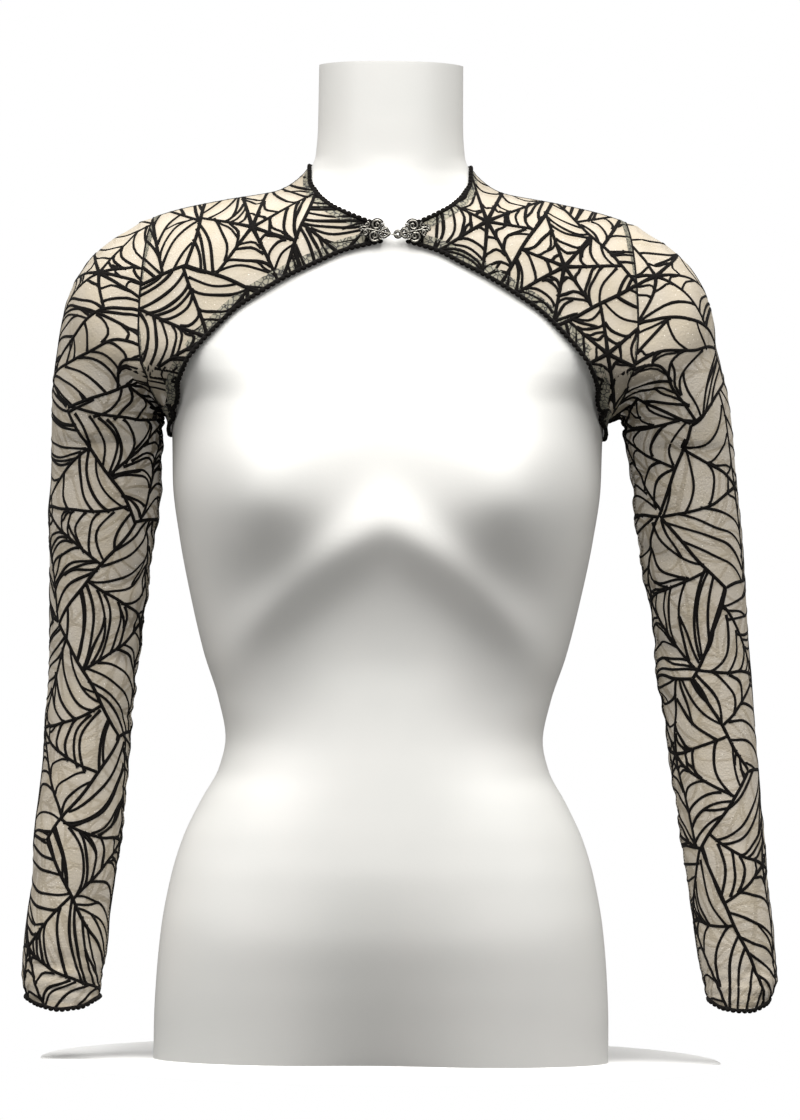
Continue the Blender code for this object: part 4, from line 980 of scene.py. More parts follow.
def grown(name, paths, tree, values):
    """The plain mesh that a tree grows on guide lines."""
    carrier = bpy.data.objects.new(name + "_guide", path_mesh(name, paths))
    bpy.context.scene.collection.objects.link(carrier)
    modifier = carrier.modifiers.new("grow", "NODES")
    modifier.node_group = tree
    for item in tree.interface.items_tree:
        if item.in_out == "INPUT" and item.name in values:
            modifier[item.identifier] = values[item.name]
    deps = bpy.context.evaluated_depsgraph_get()
    mesh = bpy.data.meshes.new_from_object(carrier.evaluated_get(deps), depsgraph=deps)
    carrier.modifiers.clear()
    bpy.data.objects.remove(carrier)
    mesh.name = name
    return mesh


def joined(one, other, kind):
    """Two meshes as one, in one finish."""
    work = bmesh.new()
    work.from_mesh(one)
    work.from_mesh(other)
    work.to_mesh(one)
    work.free()
    one.materials.clear()
    one.materials.append(finish_of(kind))
    one.polygons.foreach_set("material_index", np.zeros(len(one.polygons), dtype=int))
    return one


# web lines


def clipped(points, widths, inside):
    """The stretches of a line where a test holds, each cut right at its edge."""

    def edge(held, lost):
        for _ in range(7):
            middle = (held + lost) / 2
            held, lost = (middle, lost) if inside(middle) else (held, middle)
        return held

    holds = [inside(p) for p in points]
    found, run = [], []
    for i, point in enumerate(points):
        if holds[i]:
            if not run and i:
                run.append((edge(point, points[i - 1]), widths[i]))
            run.append((point, widths[i]))
        if run and (not holds[i] or i + 1 == len(points)):
            if not holds[i]:
                run.append((edge(points[i - 1], point), widths[i - 1]))
            if len(run) > 2:
                found.append((np.array([p for p, _ in run]), np.array([w for _, w in run])))
            run = []
    return found


def border_lines(hubs, every, chance, wide):
    """Thick threads along the borders between neighbouring webs."""
    lines = []
    t = np.linspace(-BORDER_REACH, BORDER_REACH, 181)
    for i, hub in enumerate(hubs):
        for other in every[i + 1 :]:
            across = other - hub
            apart = np.linalg.norm(across)
            if apart > NEIGHBOUR_REACH:
                continue
            along = np.array([-across[1], across[0]]) / apart
            wave = 0.0011 * np.sin(t * 50 + chance.uniform(0, 6))
            wave = wave + 0.0005 * np.sin(t * 130 + chance.uniform(0, 6))
            middle = (hub + other) / 2 + t[:, None] * along
            own = ((middle - hub) ** 2).sum(-1)
            nearest = ((middle[:, None] - every[None]) ** 2).sum(-1).min(axis=1)
            bent = (middle + wave[:, None] * across / apart)[own <= nearest + 2e-5]
            if len(bent) > 2:
                lines.append((bent, np.full(len(bent), wide)))
    return lines


def strand(one, two, hub, bow, chance):
    """A bowed strand between two threads, its belly towards the hub."""
    t = np.linspace(0, 1, max(7, int(np.linalg.norm(two - one) / 0.0032)))[:, None]
    chord = (one + two) / 2
    pull = chord + (hub - chord) * bow
    line = (1 - t) ** 2 * one + 2 * t * (1 - t) * pull + t * t * two
    return line + 0.0006 * np.sin(t * 8 + chance.uniform(0, 6)) * np.array([1.0, -1.0])


def strand_width(count, wide, chance):
    """A hand-drawn line's half width: it swells at one place and where it joins a thread."""
    t = np.linspace(0, 1, count)
    swell = chance.uniform(0.0, 0.30) * np.exp(-(((t - chance.uniform(0.2, 0.8)) / 0.2) ** 2))
    return wide * chance.uniform(0.82, 1.08) * (1 + swell + 0.4 * (2 * t - 1) ** 8)


def web_lines(hubs, chance, step, wide, round_about=None):
    """Lines of a web on a flat chart: borders between webs, threads from hubs, bowed strands."""
    centres = np.array([(h[0], h[1]) for h in hubs])
    every, owner = [centres], [np.arange(len(hubs))]
    if round_about:
        for side in (-1, 1):
            every.append(centres + [side * round_about, 0.0])
            owner.append(np.arange(len(hubs)) + len(hubs) * (2 + side))
    every, owner = np.vstack(every), np.concatenate(owner)
    lines = border_lines(centres, every, chance, wide * BORDER_WIDTH)

    def own_part(points, i, half_width):
        return clipped(points, half_width, lambda p: owner[np.argmin(((every - p) ** 2).sum(-1))] == i)

    for i, (hub, (_, _, count, first)) in enumerate(zip(centres, hubs)):
        gaps = chance.uniform(0.7, 1.3, count)
        angles = math.radians(first) + np.cumsum(gaps) / gaps.sum() * 2 * math.pi
        for angle in angles:
            r = np.linspace(0.0, WEB_REACH, 60)
            heading = angle + chance.uniform(-0.10, 0.10) * (r / 0.16)
            heading = heading + 0.02 * np.sin(r * 70 + chance.uniform(0, 6))
            ray = hub + np.stack([r * np.cos(heading), r * np.sin(heading)], axis=1)
            lines += own_part(ray, i, wide * (1.15 + 0.6 * np.exp(-r / HUB_KNOT)))
        for k, angle in enumerate(angles):
            ahead = angles[(k + 1) % count] + (2 * math.pi if k + 1 == count else 0)
            one_way = np.array([math.cos(angle), math.sin(angle)])
            two_way = np.array([math.cos(ahead), math.sin(ahead)])
            r = chance.uniform(0.010, 0.018)
            lean = chance.uniform(0.80, 1.25)
            before = None
            while r < WEB_REACH:
                bow = chance.uniform(0.18, 0.40)
                line = strand(hub + r * one_way, hub + r * lean * two_way, hub, bow, chance)
                lines += own_part(line, i, strand_width(len(line), wide, chance))
                if before is not None and chance.random() < FORK_CHANCE:
                    # a fork: a strand that leaves its neighbour part way and joins this one's end
                    leave = before[int(len(before) * chance.uniform(0.35, 0.65))]
                    fork = strand(leave, line[-1 if chance.random() < 0.5 else 0], hub, 0.06, chance)
                    lines += own_part(fork, i, strand_width(len(fork), wide * 0.95, chance))
                before = line
                close_by = chance.random() < CLOSE_CHANCE
                r += step * (chance.uniform(0.35, 0.6) if close_by else chance.uniform(0.8, 1.6))
                lean = np.clip(lean + chance.uniform(-0.06, 0.06), 0.75, 1.3)
    return lines


def bunched_lines(centre, first, last, count, reach, wide, chance):
    """Lines drawn together where the net is gathered into the underarm, with small loops between."""
    lines, before = [], None
    for angle in np.radians(np.linspace(first, last, count)):
        angle += chance.uniform(-0.12, 0.12)
        r = np.linspace(0.002, reach * chance.uniform(0.55, 1.0), 14)
        heading = angle + 0.10 * np.sin(r * 260 + chance.uniform(0, 6))
        line = centre + np.stack([r * np.cos(heading), r * np.sin(heading)], axis=1)
        lines.append((line, wide * (1.35 - 0.6 * r / reach)))
        if before is not None:
            for place in (2, 4, 6, 9)[: int(chance.integers(2, 5))]:
                loop = strand(before[place], line[place], centre, -0.25, chance)
                lines.append((loop, strand_width(len(loop), wide * 0.85, chance)))
        before = line
    return lines


def on_cloth(name, lines, lift):
    """Flat lines laid on a cloth piece, cut at its edges."""
    chart = Chart(name)
    laid = []
    for points, widths in lines:
        for flat, wide in clipped(points, widths, lambda p: chart.find(*p) is not None):
            places, outs = (np.array(side) for side in zip(*(chart.find(*p) for p in flat)))
            laid.append((places + outs * lift, outs, wide, False))
    return laid


# edges and seams


def edge_line(name, rows, columns, beside):
    """An edge of a cloth piece: its points, their outward directions, and the way off the cloth."""
    grid, normals = cloth()[name]
    line, out = grid[rows, columns], normals[rows, columns]
    along = np.gradient(line, axis=0)
    square = unit(np.cross(along, out))
    square *= np.sign((square * (line - grid[beside])).sum())
    return line, out, square


def hem_run():
    """The hem and front edge, from clasp to clasp round the back."""
    everything = slice(None)
    runs = [
        edge_line("front_right", everything, -1, (everything, -2)),
        edge_line("back", slice(1, -1), -1, (slice(1, -1), -2)),
        [a[::-1] for a in edge_line("front_left", everything, -1, (everything, -2))],
    ]
    return [np.vstack(parts) for parts in zip(*runs)]


def neck_run():
    """The neckline, from clasp to clasp round the nape."""
    collar = slice(0, NECKLINE_STEPS + 1)
    nape = slice(SHOULDER_STEPS + 1, -SHOULDER_STEPS - 1)
    runs = [
        edge_line("front_right", collar, 0, (collar, 1)),
        edge_line("back", nape, 0, (nape, 1)),
        [a[::-1] for a in edge_line("front_left", collar, 0, (collar, 1))],
    ]
    return [np.vstack(parts) for parts in zip(*runs)]


def cuff_run(arm):
    """The wrist edge of a sleeve, a ring."""
    grid, normals = cloth()["sleeve_" + arm]
    line, out = grid[-1], normals[-1]
    square = unit(np.cross(np.roll(line, -1, axis=0) - np.roll(line, 1, axis=0), out))
    square *= np.sign((square * (line - grid[-2])).sum())
    return line, out, square


def strip(name, run, start, end, lift, kind, columns=5):
    """A narrow band of a finish beside a line, from one distance to another along the cloth."""
    line, out, away = run
    share = np.linspace(start, end, columns)
    grid = line[:, None] + away[:, None] * share[None, :, None] + out[:, None] * lift
    length = length_share(line) * np.linalg.norm(np.diff(line, axis=0), axis=1).sum()
    chart = np.stack(np.broadcast_arrays(length[:, None], share[None]), axis=-1)
    mesh = grid_mesh(name, grid, chart=chart)
    mesh.materials.append(finish_of(kind))
    put(name, mesh, "net_beige")


# materials


def paint(code):
    """A hex sRGB colour as linear red, green, blue and alpha."""
    parts = [int(code[i : i + 2], 16) / 255 for i in (1, 3, 5)]
    return (*(c / 12.92 if c <= 0.04045 else ((c + 0.055) / 1.055) ** 2.4 for c in parts), 1.0)


def new_material(name, feel):
    """A material with a principled shader whose plain values are set on its own sockets."""
    made = bpy.data.materials.new(name)
    made.use_nodes = True
    shader = made.node_tree.nodes["Principled BSDF"].inputs
    for label, value in feel.items():
        shader[label].default_value = value
    return made, made.node_tree, shader


def span(value, low, high, to_low=0.0, to_high=1.0):
    """What moves a value from one range to another and keeps it there."""
    return {"Value": value, "From Min": low, "From Max": high, "To Min": to_low, "To Max": to_high}


def stretch_net():
    """Sheer nude stretch net: a fine knit that the light half passes, with sparse tiny glints painted on.
    """
    look = bpy.context.scene.bolero_net
    feel = {"Roughness": 0.6, "Specular IOR Level": 0.3, "Sheen Weight": 0.1, "Sheen Roughness": 0.4}
    made, tree, shader = new_material("sheer stretch net", feel)
    place = link(tree, "ShaderNodeTexCoord").outputs["Object"]
    # uneven stretch, over some 25 mm, changes how open and how warm the net looks
    stretch = link(tree, "ShaderNodeTexNoise", {"Vector": place, "Scale": 40.0, "Detail": 3.0}).outputs[0]
    slack = link(tree, "ShaderNodeMapRange", span(stretch, 0.35, 0.65)).outputs[0]
    warmth = {0: slack, 6: (*look.colour, 1.0), 7: (*look.warm, 1.0)}
    colour = link(tree, "ShaderNodeMix", warmth, data_type="RGBA").outputs[2]
    # painted highlights: pale specks under 1 mm, about 4 mm apart, as glints on the yarn, in colour and
    # cover
    glint = link(tree, "ShaderNodeTexVoronoi", {"Vector": place, "Scale": 280.0}).outputs["Distance"]
    painted_glint = link(tree, "ShaderNodeMapRange", span(glint, 0.05, 0.12, 1.0, 0.0)).outputs[0]
    painted_glint_colour = {0: painted_glint, 6: colour, 7: paint("#f6f1e6")}
    tree.links.new(link(tree, "ShaderNodeMix", painted_glint_colour, data_type="RGBA").outputs[2], shader["Base Color"])
    # the knit's own holes are 0.4 mm, too fine to show: drawn as a 1.4 mm grain
    knit = link(tree, "ShaderNodeTexVoronoi", {"Vector": place, "Scale": 700.0}).outputs["Distance"]
    thin, thick = look.opacity - 0.05, look.opacity + 0.05
    mesh_cover = link(tree, "ShaderNodeMapRange", span(stretch, 0.3, 0.7, thin, thick)).outputs[0]
    grain = link(tree, "ShaderNodeMapRange", span(knit, 0.1, 0.7, 0.025, -0.025)).outputs[0]
    cover = link(tree, "ShaderNodeMath", {0: mesh_cover, 1: grain}, operation="ADD").outputs[0]
    # the painted glints also make the net fully opaque where they lie
    full = link(tree, "ShaderNodeMath", {0: cover, 1: painted_glint}, operation="ADD", use_clamp=True).outputs[0]
    tree.links.new(full, shader["Alpha"])
    # ripples some 13 mm across, with the knit's grain on them
    waves = {"Vector": place, "Scale": 75.0, "Detail": 4.0, "Distortion": 0.8}
    ripple = link(tree, "ShaderNodeTexNoise", waves).outputs[0]
    lift = link(tree, "ShaderNodeMath", {0: ripple, 1: 2.2, 2: knit}, operation="MULTIPLY_ADD").outputs[0]
    bump = link(tree, "ShaderNodeBump", {"Height": lift, "Strength": 0.22, "Distance": 0.0012})
    tree.links.new(bump.outputs[0], shader["Normal"])
    return made


def flock(name, code, fuzz):
    """Black flock or elastic yarn: matt, with a short pile that catches a little light."""
    feel = {"Roughness": 0.9, "Specular IOR Level": 0.12, "Sheen Weight": 0.03, "Sheen Roughness": 0.5}
    made, tree, shader = new_material(name, feel)
    place = link(tree, "ShaderNodeTexCoord").outputs["Object"]
    # real pile is near 0.1 mm: the scales draw it 0.4 to 1.1 mm coarse, so that it shows
    pile = link(tree, "ShaderNodeTexNoise", {"Vector": place, "Scale": fuzz, "Detail": 4.0}).outputs[0]
    tips = link(tree, "ShaderNodeMapRange", span(pile, 0.4, 0.75)).outputs[0]
    colour = link(tree, "ShaderNodeMix", {0: tips, 6: paint(code), 7: paint("#15110d")}, data_type="RGBA")
    tree.links.new(colour.outputs[2], shader["Base Color"])
    bump = link(tree, "ShaderNodeBump", {"Height": pile, "Strength": 0.5, "Distance": 0.0004})
    tree.links.new(bump.outputs[0], shader["Normal"])
    return made


def lace_elastic(name, code, dark, alpha, cell):
    """Narrow grey elastic seen through the net: open cells between darker threads."""
    made, tree, shader = new_material(name, {"Roughness": 0.7, "Sheen Weight": 0.2})
    place = link(tree, "ShaderNodeTexCoord").outputs["UV"]
    grid = {"Vector": place, "Scale": 1.0 / cell}
    cells = link(tree, "ShaderNodeTexVoronoi", grid, feature="DISTANCE_TO_EDGE").outputs[0]
    thread = link(tree, "ShaderNodeMapRange", span(cells, 0.04, 0.12, 1.0, 0.0)).outputs[0]
    # mottled over some 4 mm, as the net's folds shade it
    mottle = link(tree, "ShaderNodeTexNoise", {"Vector": place, "Scale": 260.0, "Detail": 3.0}).outputs[0]
    patch = link(tree, "ShaderNodeMapRange", span(mottle, 0.35, 0.65)).outputs[0]
    shades = {0: patch, 6: paint(code), 7: paint("#8b8772")}
    ground = link(tree, "ShaderNodeMix", shades, data_type="RGBA").outputs[2]
    colour = link(tree, "ShaderNodeMix", {0: thread, 6: ground, 7: paint(dark)}, data_type="RGBA")
    tree.links.new(colour.outputs[2], shader["Base Color"])
    cover = link(tree, "ShaderNodeMapRange", span(thread, 0.0, 1.0, alpha, 0.95))
    tree.links.new(cover.outputs[0], shader["Alpha"])
    return made


def gloss_paint():
    """Sprayed white gloss on fibreglass: smooth, faintly uneven, with a soft clear shine."""
    look = bpy.context.scene.bolero_form
    feel = {"Roughness": look.roughness, "Coat Weight": 0.15, "Coat Roughness": 0.38}
    made, tree, shader = new_material("sprayed white gloss", feel)
    place = link(tree, "ShaderNodeTexCoord").outputs["Object"]
    # the coat's thickness drifts over some 110 mm
    cloud = link(tree, "ShaderNodeTexNoise", {"Vector": place, "Scale": 9.0, "Detail": 3.0}).outputs[0]
    thin = link(tree, "ShaderNodeMapRange", span(cloud, 0.35, 0.65)).outputs[0]
    coats = {0: thin, 6: (*look.colour, 1.0), 7: paint("#eeece7")}
    tree.links.new(link(tree, "ShaderNodeMix", coats, data_type="RGBA").outputs[2], shader["Base Color"])
    # the spray leaves a skin like fine orange peel, waves about 3 mm apart
    peel = link(tree, "ShaderNodeTexNoise", {"Vector": place, "Scale": 330.0, "Detail": 1.0}).outputs[0]
    bump = link(tree, "ShaderNodeBump", {"Height": peel, "Strength": 0.08, "Distance": 0.0004})
    tree.links.new(bump.outputs[0], shader["Normal"])
    return made


def antique_silver():
    """Cast silver-plated metal, darkened by tarnish in small random specks."""
    made, tree, shader = new_material("antique silver", {"Metallic": 1.0})
    place = link(tree, "ShaderNodeTexCoord").outputs["Object"]
    # tarnish in specks about 1 mm across
    tarnish = link(tree, "ShaderNodeTexNoise", {"Vector": place, "Scale": 900.0, "Detail": 3.0}).outputs[0]
    dull = link(tree, "ShaderNodeMapRange", span(tarnish, 0.45, 0.72)).outputs[0]
    colours = {0: dull, 6: paint("#b3afa5"), 7: paint("#3a3731")}
    tree.links.new(link(tree, "ShaderNodeMix", colours, data_type="RGBA").outputs[2], shader["Base Color"])
    rough = link(tree, "ShaderNodeMapRange", span(dull, 0.0, 1.0, 0.32, 0.55))
    tree.links.new(rough.outputs[0], shader["Roughness"])
    bump = link(tree, "ShaderNodeBump", {"Height": tarnish, "Strength": 0.4, "Distance": 0.0002})
    tree.links.new(bump.outputs[0], shader["Normal"])
    return made


def pale_floor():
    """Matt white painted board, faintly cloudy from the brush."""
    look = bpy.context.scene.bolero_stage
    made, tree, shader = new_material("matt white board", {"Roughness": 0.9})
    place = link(tree, "ShaderNodeTexCoord").outputs["Object"]
    cloud = link(tree, "ShaderNodeTexNoise", {"Vector": place, "Scale": 4.0, "Detail": 2.0}).outputs[0]
    brushed = link(tree, "ShaderNodeMapRange", span(cloud, 0.3, 0.7)).outputs[0]
    whites = {0: brushed, 6: (*look.floor_colour, 1.0), 7: paint("#fbfaf8")}
    tree.links.new(link(tree, "ShaderNodeMix", whites, data_type="RGBA").outputs[2], shader["Base Color"])
    return made


@functools.lru_cache(maxsize=None)
def finish_of(kind):
    """Each finish is made once."""
    return {
        "net": stretch_net,
        "flock": lambda: flock("black flock print", "#070504", 900.0),
        "elastic": lambda: flock("black picot elastic", "#0a0807", 1500.0),
        "thread": lambda: flock("black sewing thread", "#0b0908", 2500.0),
        "band": lambda: lace_elastic("grey lace elastic", "#b3af9b", "#12100d", 0.58, 0.0040),
        "allowance": lambda: lace_elastic("overlocked net seam", "#6a6655", "#14120f", 0.80, 0.0020),
        "gloss": gloss_paint,
        "silver": antique_silver,
        "oxide": lambda: flock("black oxide ground", "#080706", 1800.0),
        "floor": pale_floor,
    }[kind]()


# settings


def length(name, description, default):
    """A size in metres that a user may change."""
    return FloatProperty(name=name, description=description, default=default, unit="LENGTH")


def hue(name, description, code):
    """A colour that a user may change, from its hex code."""
    default = paint(code)[:3]
    return FloatVectorProperty(name=name, description=description, default=default, subtype="COLOR", size=3)


def slant(name, description, degrees):
    """An angle that a user may change."""
    return FloatProperty(name=name, description=description, default=math.radians(degrees), subtype="ANGLE")


def part_of_one(name, description, default):
    """A share from 0 to 1 that a user may change."""
    limits = {"min": 0.0, "max": 1.0, "subtype": "FACTOR"}
    return FloatProperty(name=name, description=description, default=default, **limits)


class BoleroNet(bpy.types.PropertyGroup):
    colour: hue("Net", "The net's own colour", "#cabeab")
    warm: hue("Warm net", "The net's colour where it is stretched less", "#c2b59e")
    opacity: part_of_one("Cover", "Share of the light that one layer of net stops", 0.74)


class BoleroWeb(bpy.types.PropertyGroup):
    half_width: length("Strand half width", "Half the width of a thin strand", 0.00118)
    flatness: part_of_one("Flatness", "Height of a strand over its width", 0.30)
    step: length("Strand spacing", "Usual space between neighbouring strands", 0.0116)
    seed: IntProperty(name="Seed", description="Changes the web's small irregularities", default=4)


class BoleroEdge(bpy.types.PropertyGroup):
    spacing: length("Picot spacing", "From one picot to the next", 0.0044)
    bump: length("Picot", "Half the size of a picot", 0.00175)
    core: length("Rope", "Radius of the edging's rope", 0.0013)
    band: length("Elastic band", "Width of the elastic inside the hem", 0.0078)


class BoleroForm(bpy.types.PropertyGroup):
    colour: hue("Paint", "Colour of the form", "#e9e8e3")
    roughness: part_of_one("Roughness", "Roughness of the paint", 0.48)


class BoleroClasp(bpy.types.PropertyGroup):
    wire: length("Wire", "Radius of the scroll wire", 0.00060)
    scroll: length("Scroll", "Outer radius of a large scroll", 0.0041)
    tilt: slant("Tilt", "How far each half slopes to the middle", 12.0)


class BoleroStage(bpy.types.PropertyGroup):
    floor_colour: hue("Floor", "Colour of the floor", "#f4f3f0")
    floor: length("Floor radius", "Radius of the round floor", 0.26)
    distance: length("Camera distance", "From the form's middle to the camera", 5.6)
    tall: length("Height in view", "Height that the camera takes in at the form", 0.8568)
    lean: slant("Lean", "How far the camera is turned on its axis", 0.6)


# operators


class BOLERO_OT_stage(bpy.types.Operator):
    """Makes the floor, the lights and the camera"""

    bl_idname = "bolero.stage"
    bl_label = "Stage"

    def execute(self, context):
        look = context.scene.bolero_stage
        link_object = context.scene.collection.objects.link
        turn = np.linspace(0, 2 * math.pi, FLOOR_SIDES + 1)[:-1]
        disc = [(look.floor * math.cos(a), look.floor * math.sin(a), 0.0) for a in turn]
        mesh = bpy.data.meshes.new("floor")
        mesh.from_pydata(disc, [], [list(range(len(disc)))])
        mesh.materials.append(finish_of("floor"))
        floor = bpy.data.objects.new("floor", mesh)
        link_object(floor)
        floor.visible_diffuse = False  # the floor takes shadows, but throws no light back up

        for name, place, size, power in LIGHTS:
            lamp = bpy.data.lights.new(name, "AREA")
            lamp.size, lamp.energy = size, power
            holder = bpy.data.objects.new(name, lamp)
            aim = (Vector(LIT_PLACE) - Vector(place)).to_track_quat("-Z", "Y")
            holder.matrix_world = Matrix.Translation(place) @ aim.to_matrix().to_4x4()
            link_object(holder)

        world = bpy.data.worlds.new("white room")
        world.use_nodes = True
        tree = world.node_tree
        tree.nodes.clear()
        seen = link(tree, "ShaderNodeLightPath").outputs["Is Camera Ray"]
        white = (1.0, 1.0, 1.0, 1.0)
        room = link(tree, "ShaderNodeBackground", {"Color": white, "Strength": ROOM_LIGHT}).outputs[0]
        backdrop = link(tree, "ShaderNodeBackground", {"Color": white, "Strength": 1.0}).outputs[0]
        both = link(tree, "ShaderNodeMixShader", {0: seen, 1: room, 2: backdrop}).outputs[0]
        link(tree, "ShaderNodeOutputWorld", {"Surface": both})
        context.scene.world = world
        context.scene.view_settings.view_transform = "Standard"

        camera = bpy.data.cameras.new("camera")
        camera.lens = camera.sensor_width * look.distance / look.tall
        camera.clip_end = 50.0
        holder = bpy.data.objects.new("camera", camera)
        holder.matrix_world = (
            Matrix.Translation((VIEW_X, -look.distance, VIEW_Z))
            @ Matrix.Rotation(math.pi / 2, 4, "X")
            @ Matrix.Rotation(look.lean, 4, "Z")
        )
        link_object(holder)
        context.scene.camera = holder
        return {"FINISHED"}


class BOLERO_OT_form(bpy.types.Operator):
    """Makes the limbless dress form"""

    bl_idname = "bolero.form"
    bl_label = "Dress form"

    def execute(self, context):
        under, inner = TORSO[-2][0], TORSO[-1][0]
        outer, over = SHOULDER[0][0], SHOULDER[1][0]
        levels = [
            *np.linspace(0.0, under, 92),
            *np.linspace(under, inner, 8)[1:],
            *np.linspace(outer, over, 6),
            *np.linspace(over, SHOULDER[-1][0], 100)[1:],
        ]
        u = np.linspace(1, -1, FORM_HALF + 1)
        rings = []
        for level in levels:
            if level <= inner:
                drop = STUB_DROP * max(0.0, (level - under) / (inner - under))
            else:
                drop = STUB_RIM * max(0.0, (over - level) / (over - outer))
            sizes = form_sizes(level)
            x = ring_x(u, sizes[0])
            z = level + drop * stub_share(u)
            front = np.stack([x, depth_at(x, level, -1, sizes), z], axis=1)
            back = np.stack([x, depth_at(x, level, 1, sizes), z], axis=1)
            rings.append(np.vstack([front, back[-2:0:-1]]))
        # the cut neck has a small turned-in rim
        middle = rings[-1].mean(axis=0)
        top = rings[-1] = rings[-1] - [0, 0, NECK_RIM_TALL]
        inward = unit(middle - top)
        for inset, down in NECK_RIM:
            ring = top + inward * inset
            ring[:, 2] = top[:, 2] - down
            rings.append(ring)
        rings = np.array(rings)
        count, around = rings.shape[:2]
        side = grid_mesh("form", rings, closed=True)
        faces = [list(p.vertices) for p in side.polygons]
        faces.append(list(range(around))[::-1])
        faces.append([(count - 1) * around + i for i in range(around)])
        bpy.data.meshes.remove(side)
        whole = bpy.data.meshes.new("form")
        whole.from_pydata(rings.reshape(-1, 3).tolist(), [], faces)
        whole.shade_smooth()
        whole.set_sharp_from_angle(angle=math.radians(32))
        if whole.polygons[0].normal.dot(whole.polygons[0].center) < 0:
            whole.flip_normals()
        whole.materials.append(finish_of("gloss"))
        put("form_shell", whole, "form_white", "dress_form")
        return {"FINISHED"}


class BOLERO_OT_cloth(bpy.types.Operator):
    """Makes the fronts, the back and the sleeves as thin sheets of net"""

    bl_idname = "bolero.cloth"
    bl_label = "Net pieces"

    def execute(self, context):
        for name, (grid, _) in cloth().items():
            closed = name.startswith("sleeve")
            mesh = grid_mesh("net_" + name, grid, closed, chart_of(name))
            centre = grid.reshape(-1, 3).mean(axis=0)
            if closed:
                centre[1] = grid[len(grid) // 2, :, 1].mean()
            away = sum(p.normal.dot(p.center - Vector(centre)) * p.area for p in mesh.polygons)
            if away < 0:
                mesh.flip_normals()
            mesh.materials.append(finish_of("net"))
            put("net_" + name, mesh, "net_beige", name)
        return {"FINISHED"}


class BOLERO_OT_web(bpy.types.Operator):
    """Prints the raised web lines on the net"""

    bl_idname = "bolero.web"
    bl_label = "Web lines"

    def execute(self, context):
        look = context.scene.bolero_web
        tree = strand_tree()
        values = {"Flatness": look.flatness, "Sides": 6, "Material": finish_of("flock")}
        for number, (name, hubs) in enumerate(WEBS.items()):
            chance = np.random.default_rng(look.seed * 10 + number)
            bunches = UNDERARM_BUNCHES[name.split("_")[0]]
            if name.startswith("sleeve"):
                round_about, wide = SLEEVE_ROUND, look.half_width
                hubs = [(turn / 360 * round_about, *rest) for turn, *rest in hubs]
                crotch = (round_about / 2, chart_of(name)[0, ARMHOLE_STEPS, 1])
                bunches = [(crotch, first, last) for _, first, last in bunches]
            else:
                round_about, wide = None, look.half_width * BODY_WIDTH
            lines = web_lines(hubs, chance, look.step * OPENNESS[name], wide, round_about)
            for centre, first, last in bunches:
                heart = np.array(centre)
                lines += bunched_lines(heart, first, last, 13, BUNCH_REACH, look.half_width, chance)
            paths = on_cloth(name, lines, PRINT_LIFT)
            put("web_" + name, grown("web_" + name, paths, tree, values), "edging_black")
        return {"FINISHED"}


class BOLERO_OT_edging(bpy.types.Operator):
    """Sews the picot edging on the cut edges, and the elastic inside the hem"""

    bl_idname = "bolero.edging"
    bl_label = "Picot edging"

    def execute(self, context):
        look = context.scene.bolero_edge
        tree = picot_tree()
        runs = {
            "hem_picot": ("hem_trim", hem_run(), False),
            "neck_picot": ("neck_trim", neck_run(), False),
            "cuff_picot_right": ("cuff_trim_right", cuff_run("right"), True),
            "cuff_picot_left": ("cuff_trim_left", cuff_run("left"), True),
        }
        values = {
            "Spacing": look.spacing,
            "Bump": look.bump,
            "Reach": PICOT_REACH,
            "Core": look.core,
            "Material": finish_of("elastic"),
        }
        for name, (node, (line, out, square), ring) in runs.items():
            path = line + square * ROPE_OFF + out * ROPE_LIFT
            guide = [(path, square, np.ones(len(path)), ring)]
            put(name, grown(name, guide, tree, values), "edging_black", node)
        for name, run, share in (("hem_elastic", hem_run(), 1.0), ("neck_elastic", neck_run(), NECK_BAND)):
            line, out, square = run
            strip(name, (line, out, -square), ON_NET, look.band * share, ON_NET, "band")
        return {"FINISHED"}


